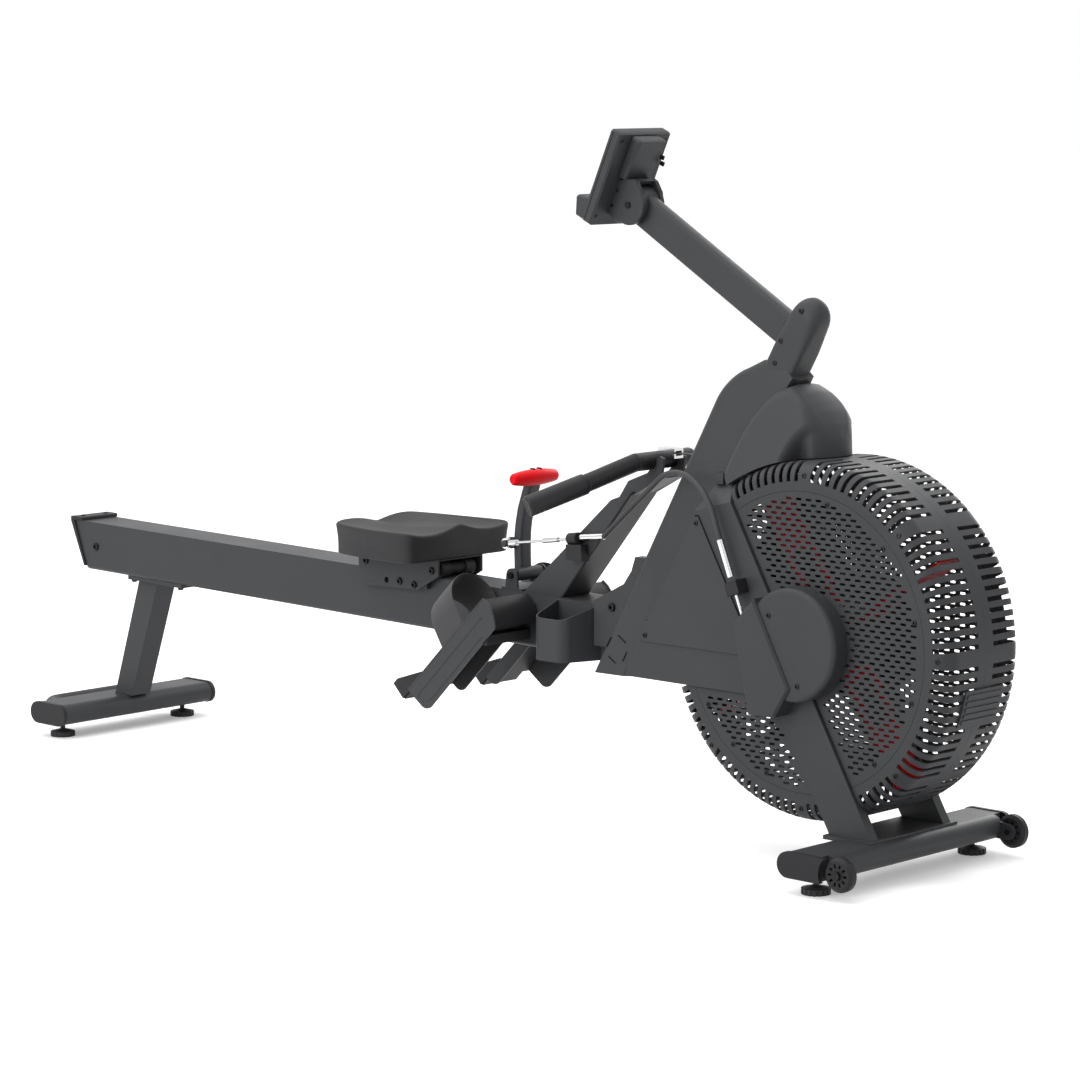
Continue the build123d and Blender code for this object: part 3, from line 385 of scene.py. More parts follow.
def inside_outline(points, outline):
    """Even-odd rule: True for the points inside a closed outline."""
    a, b = outline, np.roll(outline, -1, axis=0)
    crossing = (a[:, 1] > points[:, None, 1]) != (b[:, 1] > points[:, None, 1])
    rise = np.where(b[:, 1] == a[:, 1], 1e-9, b[:, 1] - a[:, 1])
    at = a[:, 0] + (points[:, None, 1] - a[:, 1]) * (b[:, 0] - a[:, 0]) / rise
    return (crossing & (points[:, None, 0] < at)).sum(1) % 2 == 1


def filled(flat, edges, outline):
    """Triangles between the edges of a flat drawing that lie inside its outline."""
    found = delaunay_2d_cdt([Vector(p) for p in flat], edges.tolist(), [], 0, 1e-4)
    if len(found[0]) != len(flat):
        raise ValueError("the lines of the drawing cross")
    triangles = np.array([ids[0] for ids in found[3]])[np.array(found[2])]
    return triangles[inside_outline(flat[triangles].mean(1), outline)]


def sheet(flat, triangles, edges, outer, inner):
    """Points and faces of a plate: the drawing at an outer and an inner depth, with walls along its edges."""
    total = len(flat)
    points = np.concatenate([np.insert(flat, 1, outer, axis=1), np.insert(flat, 1, inner, axis=1)])
    walls = np.stack([edges[:, 1], edges[:, 0], edges[:, 0] + total, edges[:, 1] + total], -1)
    return points, triangles.tolist() + (triangles[:, ::-1] + total).tolist() + walls.tolist()


def plate(outline, outer, inner):
    """Plate of any outline in X and Z, each face at one depth or at one depth for every point."""
    flat = np.asarray(outline, float)
    edges = np.stack([np.arange(len(flat)), (np.arange(len(flat)) + 1) % len(flat)], -1)
    return sheet(flat, filled(flat, edges, flat), edges, outer, inner)


def round_end(centre, radius, start, end, count=9):
    """Points of an arc between two angles in degrees."""
    turn = np.radians(np.linspace(start, end, count))
    return [(centre[0] + radius * math.cos(t), centre[1] + radius * math.sin(t)) for t in turn]


# %% [markdown]
# ## Seat
# The seat is one block of moulded foam with a tight skin: two hollows for the thighs, a ridge between
# them that rises to the front, and a dip in the middle of its rear. It is a closed surface. Every ring
# follows the rim: rings grow from the crown to the rim, roll over its edge, fall down the wall, roll
# under and shrink again along the flat base.

# %% Seat cushion
SEAT_FRONT, SEAT_REAR, SEAT_BASE = -50.0, -284.0, 446.0
# Heights over the base and half widths, at the rear, the middle and the front
SEAT_STATIONS = [SEAT_REAR, -150.0, SEAT_FRONT]
SEAT_EDGE, SEAT_HOLLOW, SEAT_RIDGE = [58.5, 57, 58], [61, 47, 51], [50, 53, 68]
SEAT_HALF = [116, 141, 141]


def along_seat(x, values):
    """Quadratic in x through the values at the three stations."""
    return np.polyval(np.polyfit(SEAT_STATIONS, values, 2), x)


def seat_height(x, y):
    """Height over the base: quadratic through ridge, hollow and edge heights at 0, half and full width."""
    edge, hollow = along_seat(x, SEAT_EDGE), along_seat(x, SEAT_HOLLOW)
    ridge, half = along_seat(x, SEAT_RIDGE), along_seat(x, SEAT_HALF)
    t = np.sqrt((y / half) ** 2 + 0.004)
    return ridge * 2 * (t - 0.5) * (t - 1) - hollow * 4 * t * (t - 1) + edge * 2 * t * (t - 0.5)


def seat_rim(count, corner=0.17):
    """Rounded rectangle, |cos| ** p along and |sin| ** p across a curved half width, at even spacing."""
    turn = np.linspace(0, 2 * np.pi, 8000, endpoint=False)
    along = np.sign(np.cos(turn)) * np.abs(np.cos(turn)) ** corner
    across = np.sign(np.sin(turn)) * np.abs(np.sin(turn)) ** corner
    x = (SEAT_FRONT + SEAT_REAR) / 2 + along * (SEAT_FRONT - SEAT_REAR) / 2
    y = across * along_seat(x, SEAT_HALF)
    step = np.hypot(np.diff(x, append=x[0]), np.diff(y, append=y[0]))
    run = np.concatenate([[0], np.cumsum(step)])
    at = np.linspace(0, run[-1], count, endpoint=False)
    return np.stack([np.interp(at, run, np.append(x, x[0])), np.interp(at, run, np.append(y, y[0]))], -1)


def seat_rings(count=280, roll=5.0, under=3.0, draft=4, bulge=1.5):
    """Rings of the closed seat: an inset from the rim and a height each, with quarter rounds at the edges."""
    rim, middle = seat_rim(count), np.array([(SEAT_FRONT + SEAT_REAR) / 2, 0])
    reach = np.linalg.norm(rim - middle, axis=1)
    quarter = np.linspace(0, np.pi / 2, 7)
    rings = []
    for share in np.linspace(0.03, 1, 26)[:-1]:
        plan = middle + (rim - middle) * (share * (1 - roll / reach))[:, None]
        rings.append(np.column_stack([plan, SEAT_BASE + seat_height(*plan.T)]))
    top = SEAT_BASE + seat_height(*rim.T)
    for turn in quarter:
        plan = middle + (rim - middle) * (1 - roll * (1 - np.sin(turn)) / reach)[:, None]
        rings.append(np.column_stack([plan, top - roll * (1 - np.cos(turn))]))
    for fall in np.linspace(0, 1, 8)[1:]:
        plan = middle + (rim - middle) * (1 - (draft * fall + bulge * np.sin(np.pi * fall)) / reach)[:, None]
        rings.append(np.column_stack([plan, (top - roll) * (1 - fall) + (SEAT_BASE + under) * fall]))
    for turn in quarter[1:]:
        plan = middle + (rim - middle) * (1 - (draft + under * (1 - np.cos(turn))) / reach)[:, None]
        rings.append(np.column_stack([plan, np.full(count, SEAT_BASE + under * (1 - np.sin(turn)))]))
    rings.append(np.column_stack([middle + (rim - middle) * 0.5, np.full(count, SEAT_BASE)]))
    return np.array(rings)


cushion = piece_from("seat_pad", *closed_rings(seat_rings()), "seat", seat_skin, "seat_skin", crisp=50)
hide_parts("seat_cushion")
print("seat pad", len(cushion.data.polygons), "faces")


# %% [markdown]
# ## Webbing
# The pull strap and the two foot straps are flat bands. A flat oval section is carried along each one's
# path. The weave runs across the band in shallow ribs, and its edges are slightly rounded.

# %% Webbing
def webbing(name, colour, wave_mm, rib_axis, contrast):
    """Woven band: shallow ribs every 2 * pi * wave_mm as bump and colour, matt with a little sheen."""
    material, tree, output = new_material(name)
    place = add_node(tree, "ShaderNodeTexCoord")
    # A wave texture of scale 1 runs through 20 radians in a metre
    ribs = add_node(tree, "ShaderNodeTexWave", {
        "Vector": place.outputs["Object"], "Scale": 1000 / wave_mm / 20, "Distortion": 0.4, "Detail": 1.0},
        bands_direction=rib_axis)
    dark = [c * contrast for c in linear(colour)[:3]] + [1]
    tint = add_node(tree, "ShaderNodeMix", {"Factor": ribs.outputs["Fac"], "A": dark, "B": linear(colour)},
                    data_type="RGBA")
    relief = add_node(tree, "ShaderNodeBump", {
        "Height": ribs.outputs["Fac"], "Strength": 0.3, "Distance": 0.0003})
    shader = add_node(tree, "ShaderNodeBsdfPrincipled", {
        "Base Color": tint.outputs["Result"], "Roughness": 0.75, "Sheen Weight": 0.1,
        "Specular IOR Level": 0.3, "Normal": relief.outputs["Normal"]})
    tree.links.new(shader.outputs[0], output.inputs["Surface"])
    return material


def band(route, across, half_width, thick, around=20):
    """Flat oval carried along a route: ring = route + across * w(t) + normal * d(t)."""
    route, across = np.asarray(route, float), np.asarray(across, float)
    run = np.gradient(route, axis=0)
    run /= np.linalg.norm(run, axis=1, keepdims=True)
    normal = np.cross(run, across)
    turn = np.linspace(0, 2 * np.pi, around, endpoint=False)
    wide = np.sign(np.cos(turn)) * np.abs(np.cos(turn)) ** 0.3 * half_width
    deep = np.sign(np.sin(turn)) * np.abs(np.sin(turn)) ** 0.7 * thick / 2
    return closed_rings(route[:, None] + across * wide[None, :, None] + normal[:, None] * deep[None, :, None])


black_webbing = webbing("black_polyester_webbing", "#1c1c1d", 2.0, "X", 0.6)
grey_webbing = webbing("grey_polyester_webbing", "#3a3a3c", 1.2, "Z", 0.97)

STRAP_FROM, STRAP_TO, STRAP_Z = 474, 694, 684.0
strap_line = np.linspace((STRAP_FROM, 0, STRAP_Z), (STRAP_TO, 0, STRAP_Z), 45)
pull_strap = piece_from("pull_webbing", *band(strap_line, (0, 1, 0), 7.5, 2.6), None, black_webbing,
                        "black_webbing")
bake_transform(pull_strap)
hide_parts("pull_strap")
print("pull strap", len(pull_strap.data.polygons), "faces")

# %% Foot straps
PLATE_HEEL, SLOPE = np.array((-31.0, 0, 215.0)), np.array((0.7144, 0, 0.6997))
LIFT = np.array((-SLOPE[2], 0, SLOPE[0]))
PLATE_MIDDLE, ARCH_HALF, ARCH_FOOT, ARCH_RISE = 103.75, 55.0, 40, 54.5
for side, word in SIDES:
    bow = np.linspace(0, np.pi, 40)
    across = np.concatenate([np.full(8, ARCH_HALF), ARCH_HALF * np.cos(bow), np.full(8, -ARCH_HALF)])
    leg, arch = np.linspace(1, ARCH_FOOT, 8), ARCH_FOOT + 2 + ARCH_RISE * np.sin(bow)
    lift = np.concatenate([leg, arch, np.linspace(ARCH_FOOT, 1, 8)])
    route = PLATE_HEEL + (160 + 0.22 * lift[:, None]) * SLOPE + lift[:, None] * LIFT
    route[:, 1] = side * PLATE_MIDDLE + across
    foot_strap = piece_from(f"foot_webbing_{word}", *band(route, SLOPE, 37.5, 2.8), "frame", grey_webbing,
                            "grey_webbing")
    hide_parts("foot_straps")


# %% [markdown]
# ## Handle bar
# The bar is cut and welded at its bends, so it is a tube of straight lengths that meet in mitres. Each
# weld shows as a fine sunken line.

# %% Mitred handle bar
def mitred_tube(corners, radius, around=48, seam=0.8, sunk=0.7):
    """Tube along straight lengths: a ring at a corner lies in the plane halfway between both directions."""
    corners = np.asarray(corners, float)
    runs = np.diff(corners, axis=0)
    runs /= np.linalg.norm(runs, axis=1, keepdims=True)
    turn = np.linspace(0, 2 * np.pi, around, endpoint=False)
    cos, sin = np.cos(turn)[:, None], np.sin(turn)[:, None]
    side = np.cross(runs[0], (0, 0, 1))
    side /= np.linalg.norm(side)
    rings = [corners[0] + radius * (cos * side + sin * np.cross(runs[0], side))]
    for corner, before, after in zip(corners[1:-1], runs[:-1], runs[1:]):
        up, halfway = np.cross(before, side), (before + after) / np.linalg.norm(before + after)
        circle = cos * side + sin * up
        mitre = circle - ((circle @ halfway) / (before @ halfway))[:, None] * before
        rings += [corner + radius * mitre - seam * before, corner + (radius - sunk) * mitre,
                  corner + radius * mitre + seam * after]
        side = side - (after @ side) / (1 + before @ after) * (before + after)
    up = np.cross(runs[-1], side)
    rings.append(corners[-1] + radius * (cos * side + sin * up))
    return closed_rings(np.array(rings))


BAR_R = 16.2
BAR_HALF = [(366, 254, 601), (416, 158, 638), (451, 70, 670)]
BAR_CORNERS = [(x, -y, z) for x, y, z in BAR_HALF] + BAR_HALF[::-1]
bar = piece_from("mitred_handle_bar", *mitred_tube(BAR_CORNERS, BAR_R), "handle", handle_coat, "handle_paint",
                 crisp=14)
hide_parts("handle_bar")
sleeve = [(-4, 15), (-3.4, 17), (-2, 18.2), (0.5, 19), (106, 19), (109.5, 18.6), (111.6, 17.4), (112, 15.4)]
sleeves = [turned((366, side * 254, 601), (50, -side * 96, 37), sleeve) for side in (-1, 1)]
grips = piece_from("grip_sleeves", *joined(sleeves), "handle", handle_coat, "soft_rubber")
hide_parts("handle_grips")
print("handle bar", len(bar.data.polygons), "faces")


# %% [markdown]
# ## Folded side frames
# The strut's top end is folded in towards the mast. The plate is filled from its outline, and the points
# above the fold line move in by a share of their distance from it. Each triangular cover has a seam round
# it and a low raised field.

# %% Side frames
def strut_edge(z, front):
    """X of the strut's front or rear edge at a height: a straight line through a point, with a slope."""
    return 895.5 + 0.574 * (294 - z) if front else 830.5 + 0.58 * (248 - z)


strut = [(strut_edge(76, False), 76), (strut_edge(76, True), 76), (strut_edge(624, True), 624), (694, 645),
         (687, 674.5), (662, 671), (646, 642), (strut_edge(602, False), 602), (strut_edge(360, False), 360),
         (545, 360), (513, 400), (492, 360), (462, 294), (strut_edge(294, False), 294)]
FOLD_X, FOLD_Z, FOLD_TILT, FOLD_RATE = 625.2, 602, 0.272, 0.78
FRAME_OUT, FRAME_IN = 110, 90
above_fold = np.maximum(0, np.array([z - FOLD_Z - FOLD_TILT * (x - FOLD_X) for x, z in strut]) - 0.5)
for side, word in SIDES:
    moved = FOLD_RATE * above_fold
    folded = plate(strut, side * (FRAME_OUT - moved), side * (FRAME_IN - moved))
    made = piece_from(f"folded_frame_{word}", *folded, "frame", powder_coat, "frame_paint", crisp=12)
    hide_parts(f"side_frame_{word}")
COVER = np.array([(631, 600), (497, 361), (752, 361), (739, 411)], float)
SEAM_CORNER = 6
after = np.roll(COVER, -1, 0) - COVER
after /= np.linalg.norm(after, axis=1, keepdims=True)
round_cover = np.stack([COVER - SEAM_CORNER * np.roll(after, 1, 0), COVER + SEAM_CORNER * after], 1)
round_cover = round_cover.reshape(-1, 2)
round_cover = np.concatenate([round_cover, round_cover[:2]])
# The seam round each cover is a thin near-black rod: painted shade in the gap
seams = [rod(np.insert(round_cover, 1, side * 110.1, axis=1), 0.9, 6) for side in (-1, 1)]
piece_from("cover_seams", *joined(seams), "frame", painted_shade_black, "frame_paint")
raised = COVER.mean(0) + 0.8 * (COVER - COVER.mean(0))
fields = [prism(raised, *sorted((side * 108, side * 111.6)), 1.6) for side in (-1, 1)]
piece_from("cover_fields", *joined(fields), "frame", powder_coat, "frame_paint", crisp=20)
print("folded frames", len(made.data.polygons), "faces")


# %% [markdown]
# ## Nose cover
# The nose is a smooth moulding that sits on the fan's barrel. It is made of rings in planes through the
# fan's axle: each ring rises along one side, rounds over at the top and comes down the other. Its sides
# are drawn in towards the front by a scoop, and its front end rounds off.

# %% Nose cover
# Radius of the top at angles in degrees, angle of the scoop at radii, and half width of the core at angles
NOSE_TOP = ([90.5, 92, 94, 96, 98, 101, 105, 109, 113, 117, 121, 124.5],
            [338, 362, 385, 403, 419, 436, 434, 420, 401, 379, 357, 338])
NOSE_SCOOP = ([305, 330, 350, 370, 386, 400], [105, 102, 99.2, 94.5, 89.4, 84])
NOSE_CORE = ([90, 94, 99], [66, 61, 46])
BARREL_R, NOSE_BLEND, NOSE_FRONT, NOSE_ROUND = 310.6, 4.6, 97.5, 7.05


def nose_ring(turn, rise=26, crown=22):
    """Ring at an angle: the wedge's half width, drawn in to the scoop by a smooth step; elliptic top."""
    c, s = math.cos(math.radians(turn)), math.sin(math.radians(turn))
    top = np.interp(turn, *NOSE_TOP)
    r = BARREL_R + (top - BARREL_R) * np.sin(np.linspace(0, np.pi / 2, rise))
    wedge = 108 - 0.2996 * (FAN[1] + r * s - 618)
    scoop = np.interp(r, *NOSE_SCOOP)
    step = np.clip((turn - scoop + NOSE_BLEND) / NOSE_BLEND, 0, 1)
    step = step * step * (3 - 2 * step)
    core = np.minimum(wedge, np.interp(turn, *NOSE_CORE))
    half = core + (wedge - core) * step
    half *= math.sqrt(1 - np.clip((NOSE_FRONT - turn) / NOSE_ROUND, 0, 1) ** 2)
    near_top = np.clip((r - (top - 20)) / 20, 0, 1)
    half = half - np.minimum(14, half * 0.5) * (1 - np.sqrt(1 - near_top ** 2))
    over = np.linspace(-1, 1, crown + 2)[1:-1]
    y = np.concatenate([-half, half[-1] * over, half[::-1]])
    r = np.concatenate([r, np.full(crown, top) + 3 * (1 - over ** 2), r[::-1]])
    return np.stack([FAN[0] + r * c, y, FAN[1] + r * s], -1)


nose_turns = np.concatenate([np.linspace(90.55, NOSE_FRONT, 24), np.linspace(98, 124.5, 44)])
nose = np.array([nose_ring(turn) for turn in nose_turns])
made = piece_from("nose_moulding", *closed_rings(nose), "frame", moulded_abs, "cage_plastic", crisp=40)
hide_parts("nose_cover")
print("nose cover", len(made.data.polygons), "faces")


# %% [markdown]
# ## Monitor and arm
# The monitor is a tilted case with a raised block on its back, a ledge under its window and two cheeks
# that hold the drum at the end of the arm. The arm is an oval tube.

# %% Monitor and arm
DRUM = (395, 1122)
CASE_HALF = 68
shell = [(338, 1086), (411, 1246), (408, 1250), (392, 1257), (387, 1254), (317, 1100), (320, 1094)]
back_block = [(391, 1166), (431, 1233), (427, 1237), (408, 1245), (374, 1171)]
ledge = [(337, 1086), (338, 1134), (308, 1140), (302, 1136), (300, 1104)]
bridge = [(366, 1151), (409, 1159), (414, 1164), (408, 1168), (373, 1167)]
cheek = [(346, 1106), (370, 1089), *round_end(DRUM, 36, -125, 35, 17), (416, 1163), (408, 1168), (373, 1167)]
case = [prism(outline, -half, half, bevel) for outline, half, bevel in (
    (shell, CASE_HALF, 3), (back_block, 36, 4), (ledge, 66, 3), (bridge, 20.6, 0.3))]
case += [prism(cheek, *sorted((side * 20.4, side * 29.4)), 1.5) for side in (-1, 1)]
made = piece_from("monitor_housing", *joined(case), "monitor", moulded_abs, "cage_plastic")
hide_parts("monitor_case")
# The sockets on the back block are near-black plugs: painted shade in their hollows
plugs = [prism([(410, z), (418, z - 3), (421, z + 4), (413, z + 7)], 36.2, 41, 0.8) for z in (1192, 1203)]
piece_from("monitor_sockets", *joined(plugs), "monitor", painted_shade_black, "black_plastic")
# The joint line round the case is a thin near-black rod: painted shade in the parting gap
joint_line = [rod([(x, side * CASE_HALF, z) for x, z in ((325, 1096), (360, 1174), (395, 1252))], 0.7, 6)
              for side in (-1, 1)]
piece_from("monitor_joint_line", *joined(joint_line), "monitor", painted_shade_black, "black_plastic")

arm_line = np.linspace((765, 0, 902), (DRUM[0], 0, DRUM[1]), 12)
arm_up, turn = np.array((0.511, 0, 0.86)), np.linspace(0, 2 * np.pi, 48, endpoint=False)
wide = 12 * np.sign(np.cos(turn)) * np.abs(np.cos(turn)) ** 0.22
tall = 29.5 * np.sign(np.sin(turn)) * np.abs(np.sin(turn)) ** 0.35
section = wide[:, None] * np.array((0, 1, 0)) + tall[:, None] * arm_up
drum = prism(round_end(DRUM, 33, 0, 352.5, 48), -20, 20, 2)
arm = [closed_rings(arm_line[:, None] + section[None]), drum]
made = piece_from("oval_monitor_arm", *joined(arm), "frame", powder_coat, "frame_paint")
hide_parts("monitor_arm")
print("monitor arm", len(made.data.polygons), "faces")

# %% [markdown]
# ## Neck and lever tube
# The neck is a moulding with flat sides that ends in a dome. The lever's tube is a flat oval that bends
# towards the grip, with its pivot barrel and the eye that holds the rod.

# %% Neck and lever tube
def squared_ring(centre, along, half_long, half_wide, corner, around=64):
    """Ring with flat sides: half_long * cos(t)^e along a direction in X and Z, half_wide * sin(t)^e in Y."""
    t = np.linspace(0, 2 * np.pi, around, endpoint=False)
    a = half_long * np.sign(np.cos(t)) * np.abs(np.cos(t)) ** corner
    b = half_wide * np.sign(np.sin(t)) * np.abs(np.sin(t)) ** corner
    across = b[:, None] * np.array((0, 1, 0))
    return np.asarray(centre, float) + a[:, None] * np.asarray(along, float) + across


NECK_UP, NECK_ACROSS = np.array((0.497, 0, 0.868)), np.array((0.868, 0, -0.497))
NECK_FOOT = np.array((735.4, 0, 841.5))
DOME_FROM, DOME_RISE, DOME_POWER = 108, 40, 2.2
dome = DOME_FROM + DOME_RISE * np.sin(np.linspace(0.06, np.pi / 2 - 0.02, 22))
neck_rings = []
for along in np.concatenate([np.linspace(-14, DOME_FROM, 8), dome]):
    left = (1 - (max(along - DOME_FROM, 0) / DOME_RISE) ** DOME_POWER) ** (1 / DOME_POWER)
    corner = 0.24 + 0.5 * min(1, max(0, (along - 60) / 80))
    neck_rings.append(squared_ring(NECK_FOOT + along * NECK_UP, NECK_ACROSS, 31 * left, 27.5 * left, corner))
made = piece_from("neck_moulding", *closed_rings(np.array(neck_rings)), "frame", moulded_abs, "cage_plastic",
                  crisp=40)
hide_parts("neck")

TUBE_BEND = [(109, 438), (108, 470), (108, 492), (109, 512), (112, 532), (117, 555), (125, 578), (133, 600)]
LEVER_PIVOT, EYE = (119, 433), (96, 489.5)
heights = np.linspace(438, 600, 28)
middle = np.interp(heights, [z for _, z in TUBE_BEND], [x for x, _ in TUBE_BEND])
tube_rings = [squared_ring((x, 0, z), (1, 0, 0), 10, 15.5, 0.4) for x, z in zip(middle, heights)]
tube = [closed_rings(np.array(tube_rings)),
        prism(round_end(LEVER_PIVOT, 12.5, 0, 351, 40), -33, 33, 0.8),
        prism(round_end(EYE, 11, 0, 351, 40), -20, -12, 0.5),
        turned((EYE[0], -16, EYE[1]), (0, -1, 0), [(0, 4), (20, 4)], 20),
        prism(round_end(EYE, 7, 0, 300, 6), -39, -35, 0.4)]
made = piece_from("bent_lever_tube", *joined(tube), "lever", powder_coat, "frame_paint")
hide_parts("lever_tube")
print("neck and lever tube", len(made.data.polygons), "faces")

# %% [markdown]
# ## Footplates
# Each footplate is a sloping sheet between two flanges with rounded ends. The outer flange is deeper, and
# the sheet rolls over at the toe.

# %% Footplates
toe_roll = [(175, 397), (184, 385.5), (190, 371), (193, 355)]
outer_flange = [(-31, 215), *round_end((15.8, 206.1), 20, -125.6, -45), *toe_roll[::-1], (163, 405)]
inner_flange = [(-31, 215), *round_end((-8.7, 221.2), 18, -125.6, -45), (176, 380.4), (184, 385.5),
                (175, 397), (163, 405)]
rolled = [(-31, 215), (163, 405), *toe_roll, (190, 355), (187, 370), (181.5, 383.5), (173, 394.5), (161, 402),
          (-29, 213)]
for side, word in SIDES:
    flanges = [plate(outer_flange, side * 163, side * 160), plate(inner_flange, side * 47.3, side * 44.4)]
    made = piece_from(f"foot_flanges_{word}", *joined(flanges), "frame", powder_coat, "frame_paint", crisp=30)
    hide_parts("footplates")
    brace = prism([(141, 321), (171, 321), (171, 339), (141, 339)], *sorted((side * 47, side * 160.2)), 0.5)
    bed = joined([plate(rolled, side * 160.1, side * 47.2), brace])
    made = piece_from(f"foot_bed_{word}", *bed, "frame", moulded_pp, "frame_paint", crisp=30)
    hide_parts("footplates")
print("footplates", len(made.data.polygons), "faces each")

# %% [markdown]
# ## Screws
# Round heads with a six-sided socket take the place of the plain CAD heads.

# %% Socket screws
def screw_head(place, direction, radius, height, around=24):
    """Rings of a domed head: socket floor and rim, dome, foot; a hexagon's side lies at 1 / cos(turn)."""
    direction = np.asarray(direction, float) / np.linalg.norm(direction)
    side = np.cross(direction, (0.3, 0.2, 1.0))
    side /= np.linalg.norm(side)
    up = np.cross(direction, side)
    turn = np.linspace(0, 2 * np.pi, around, endpoint=False)
    hexagon = 0.45 / np.cos((turn + np.pi / 6) % (np.pi / 3) - np.pi / 6)
    rings = []
    for reach, rise in ((hexagon, 0.15), (hexagon, 0.96), (0.6, 1.0), (0.85, 0.88), (1.0, 0.5), (1.0, 0.0)):
        circle = np.cos(turn)[:, None] * side + np.sin(turn)[:, None] * up
        ring = circle * (radius * np.broadcast_to(reach, turn.shape))[:, None] + height * rise * direction
        rings.append(np.asarray(place, float) + ring)
    return closed_rings(np.array(rings))


def round_fan(radius, turn):
    """X and Z of a point round the fan's axle."""
    return FAN[0] + radius * math.cos(math.radians(turn)), FAN[1] + radius * math.sin(math.radians(turn))


PANEL_SCREWS_R, SHOULDER_SCREWS_R = 246, 286
cover_heads, seat_heads, frame_heads, monitor_heads = [], [], [], []
for side in (-1, 1):
    hub_face = 140 if side < 0 else 124
    for x, y, z in ((631, 113, 581), (513.5, 113, 372), (791, 27, 952), (747, 27, 899), (734, 27, 860),
                    (818, hub_face, 442), (882, hub_face, 327)):
        cover_heads.append(screw_head((x, side * y, z), (0, side, 0), 4.6, 2.4))
    for turn in (-50, -18, 14, 46, 78, 212, 232, 252):
        x, z = round_fan(PANEL_SCREWS_R, turn)
        cover_heads.append(screw_head((x, side * 104, z), (0, side, 0), 4.4, 2.2))
    for turn in (0, 45, 90, 180, 225, 270, 315):
        x, z = round_fan(SHOULDER_SCREWS_R, turn)
        out_x, out_z = (x - FAN[0]) / SHOULDER_SCREWS_R, (z - FAN[1]) / SHOULDER_SCREWS_R
        slant = (0.258 * out_x, side * 0.966, 0.258 * out_z)
        cover_heads.append(screw_head((x, side * 102.9, z), slant, 4.6, 2))
    cover_heads.append(screw_head((-1129, side * 30, 436.8), (0.02, 0, 1), 4.6, 2))
    for x, z in ((-157, 397), (-118, 394), (-71, 424.8), (-249, 428.2)):
        seat_heads.append(screw_head((x, side * 60, z), (0, side, 0), 7, 4))
    for x, y, z in ((-1071, 44.3, 378), (391, 64.3, 404)):
        frame_heads.append(screw_head((x, side * y, z), (0, side, 0), 8, 4.6))
    for x in (-966, -822):
        low = 399.3 - 0.0187 * (x - 476) - 108
        frame_heads.append(screw_head((x, side * 31, low), (0, 0, -1), 6, 5))
    for x, z in ((370, 1147), (357, 1120)):
        monitor_heads.append(screw_head((x, side * 29.4, z), (0, side, 0), 3.4, 1))
    for x, z in ((406, 1235), (345, 1101)):
        monitor_heads.append(screw_head((x, side * 58, z), (0.91, 0, -0.415), 3.8, 1))
for name, heads, body, stands_for in (
    ("cover_socket_screws", cover_heads, "frame", "cover_screws"),
    ("seat_socket_bolts", seat_heads, "seat", "seat_bolts"),
    ("frame_socket_bolts", frame_heads, "frame", "frame_bolts"),
    ("monitor_screws", monitor_heads, "monitor", None),
):
    made = piece_from(name, *joined(heads), body, dark_zinc, "plain_steel")
    if stands_for:
        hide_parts(stands_for)
    print(name, len(heads), "heads", len(made.data.polygons), "faces")

# %% [markdown]
# ## Small relief
# The footplates have a beaded upper edge and an embossed line on their outer flange. The mast's foot
# shows four short tab slots on either side, and the lever's grip has two keys on top. The slots and the
# keys are thin near-black rods: painted shade in their hollows.

# %% Footplate beads, tab slots and grip keys
for side, word in SIDES:
    edge = np.linspace((-31, 216), (163, 406), 30)
    bend = np.array([(163, 406), (175, 397), (184, 386), (190, 372), (193.5, 357)])
    edge = np.concatenate([edge, bend[1:]])
    bead = rod(np.insert(edge, 1, side * 161.5, axis=1), 2.2)
    line = np.array([(160, 372), (113, 326), (-2, 213), (-6, 204), (0, 200), (14, 200), (30, 206), (134, 310),
                     (160, 336)])
    line = rod(np.insert(line, 1, side * 163.1, axis=1), 0.9, around=8)
    piece_from(f"footplate_relief_{word}", *joined([bead, line]), "frame", powder_coat, "frame_paint")

# The tab slots are near-black rods on the mast's face: painted shade in place of their hollows
tabs = []
for side in (-1, 1):
    for (x0, z0), (x1, z1) in (((422, 357), (413, 340)), ((438, 362), (457, 351)), ((420, 323), (438, 313)),
                               ((462, 335), (455, 318))):
        ends = [(x, side * (110.1 - 0.148 * (z - 290)), z) for x, z in ((x0, z0), (x1, z1))]
        tabs.append(rod(np.linspace(*ends, 4), 1.3, around=8))
piece_from("mast_tab_slots", *joined(tabs), "frame", painted_shade_black, "black_plastic")
# The keys are near-black rods on the grip: painted shade in their hollows
KEY_LINE = ((133, 628.6), (136, 628.8), (140, 628.8), (143, 628.6))
keys = [rod([(x, y, z) for x, z in KEY_LINE], 2.2, around=12) for y in (-4, 13)]
piece_from("grip_keys", *joined(keys), "lever", painted_shade_black, "black_plastic")
print("relief", len(tabs), "tab slots", len(keys), "keys")


# %% [markdown]
# ## Pierced grille panels
# Air goes into the fan through two panels on each side, pierced with staggered rows of short slots. The
# outline and the slots are drawn flat, filled with triangles, and the slots' own triangles are left out.
# The front, the back and the walls of every slot make a real sheet with thickness.

# %% Pierced panels
SEAM_R, PANEL_FACE, PANEL_THICK = 259.2, 104.0, 3.0
SLOT_LONG, SLOT_HIGH, PITCH_X, PITCH_Z = 13.0, 4.6, 21.5, 9.1
PANEL_MARGIN, HUB_CLEAR, HUB_RING, FRONT_GAP, REAR_GAP, BEAM_Z = 9, 100, 66, 2, 3, 292.0


def arc(radius, start, end, count):
    """Points round the fan's axle from one angle to another, in degrees."""
    turn = np.radians(np.linspace(start, end, count))
    return FAN + radius * np.stack([np.cos(turn), np.sin(turn)], -1)


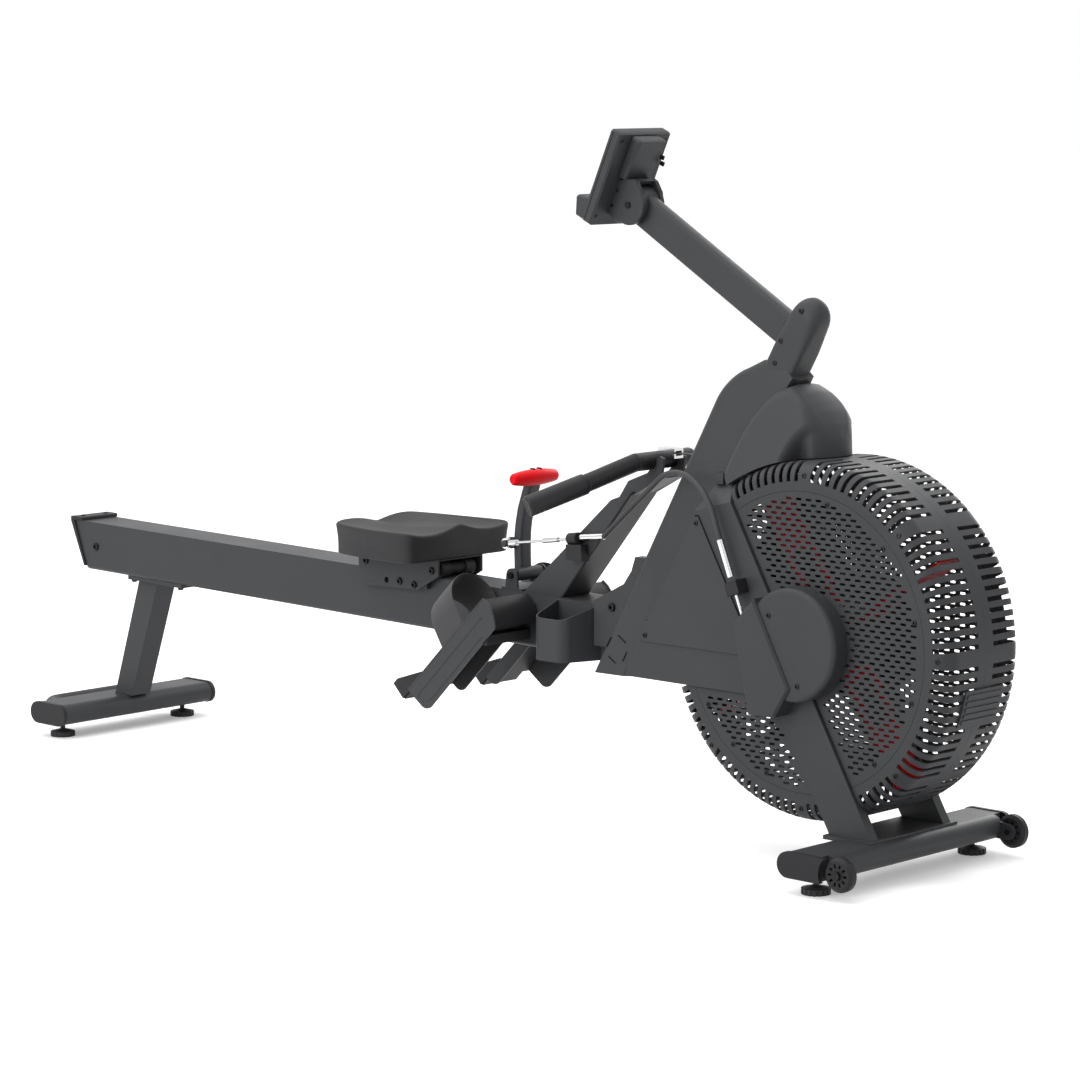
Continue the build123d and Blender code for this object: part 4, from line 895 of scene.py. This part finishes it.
def slot_loops(centres):
    """Stadium outlines: a half circle at each end of every slot, as an array (slots, 12, 2)."""
    turn = np.radians(np.linspace(-90, 90, 6))
    end = SLOT_HIGH / 2 * np.stack([np.cos(turn), np.sin(turn)], -1) + ((SLOT_LONG - SLOT_HIGH) / 2, 0)
    return centres[:, None] + np.concatenate([end, -end])[None]


def clearance(points, outline):
    """Distance from points to the nearest stretch of an outline."""
    a, run = outline, np.roll(outline, -1, axis=0) - outline
    share = np.clip(((points[:, None] - a) * run).sum(-1) / (run ** 2).sum(-1), 0, 1)
    return np.linalg.norm(points[:, None] - a - share[..., None] * run, axis=-1).min(1)


def staggered_centres(outline, margin):
    """Slot centres on staggered rows that keep a margin to the outline and clear the hub cover."""
    rows, columns = np.meshgrid(np.arange(-29, 30), np.arange(-13, 14), indexing="ij")
    x = FAN[0] + PITCH_X * (columns + 0.5 * (rows % 2))
    centres = np.stack([x, FAN[1] + PITCH_Z * rows], -1).reshape(-1, 2)
    centres = centres[inside_outline(centres, outline)]
    tips = np.array(((SLOT_LONG - SLOT_HIGH) / 2, 0))
    near = np.minimum(clearance(centres + tips, outline), clearance(centres - tips, outline))
    return centres[(near > margin) & (np.linalg.norm(centres - FAN, axis=1) > HUB_CLEAR)]


def pierced_panel(outline, margin):
    """Flat points, triangles, edges and slot count of a panel with staggered slots."""
    centres = staggered_centres(outline, margin)
    loops = slot_loops(centres)
    flat = np.concatenate([outline, loops.reshape(-1, 2)])
    sizes = [len(outline)] + [loops.shape[1]] * len(loops)
    starts = np.cumsum([0] + sizes[:-1])
    edges = np.concatenate([np.stack([s + np.arange(n), s + (np.arange(n) + 1) % n], -1)
                            for s, n in zip(starts, sizes)])
    triangles = filled(flat, edges, outline)
    offset = np.abs(flat[triangles].mean(1)[:, None] - centres)
    offset[..., 0] = np.maximum(offset[..., 0] - (SLOT_LONG - SLOT_HIGH) / 2, 0)
    triangles = triangles[(np.linalg.norm(offset, axis=-1) >= SLOT_HIGH / 2).all(1)]
    return flat, triangles, edges, len(centres)


def panel_piece(name, side, outline, margin):
    """One panel as a sheet: face, back and walls, on the near or far side of the fan."""
    flat, triangles, edges, count = pierced_panel(outline, margin)
    shape = sheet(flat, triangles, edges, side * PANEL_FACE, side * (PANEL_FACE - PANEL_THICK))
    made = piece_from(name, *shape, "frame", moulded_abs, "cage_plastic")
    print(name, count, "slots", len(made.data.polygons), "faces")
    return made


def line_angle(radius, front, inset, upper):
    """Angle in degrees where a line beside the strut's edge meets a circle round the fan's axle."""
    z = np.linspace(FAN[1], FAN[1] + (radius if upper else -radius), 4001)
    x = strut_edge(z, front) + (inset if front else -inset)
    hit = np.argmin(np.abs(np.hypot(x - FAN[0], z - FAN[1]) - radius))
    return math.degrees(math.atan2(z[hit] - FAN[1], x[hit] - FAN[0]))


for side, word in SIDES:
    low, high = [line_angle(SEAM_R, True, FRONT_GAP, upper) for upper in (False, True)]
    low_hub, high_hub = [line_angle(HUB_RING, True, FRONT_GAP, upper) for upper in (False, True)]
    front_outline = np.concatenate([arc(SEAM_R, low, high, 90), arc(HUB_RING, high_hub, low_hub, 40)])
    front_panel = panel_piece(f"front_panel_{word}", side, front_outline, PANEL_MARGIN)
    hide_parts(f"grille_{word}")
    level = 180 - math.degrees(math.asin((BEAM_Z - FAN[1]) / SEAM_R))
    foot = line_angle(SEAM_R, False, REAR_GAP, False) % 360
    corner = np.array([[strut_edge(BEAM_Z, False) - REAR_GAP, BEAM_Z]])
    rear_outline = np.concatenate([arc(SEAM_R, level, foot, 40), corner])
    rear_panel = panel_piece(f"rear_panel_{word}", side, rear_outline, PANEL_MARGIN)
    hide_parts(f"grille_{word}")

# %% [markdown]
# ## Size
# The box of every piece that renders, without the floor, is printed.

# %% Size and finish
low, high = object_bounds()
print("visual box", [round(v, 4) for v in (*low, *high)])
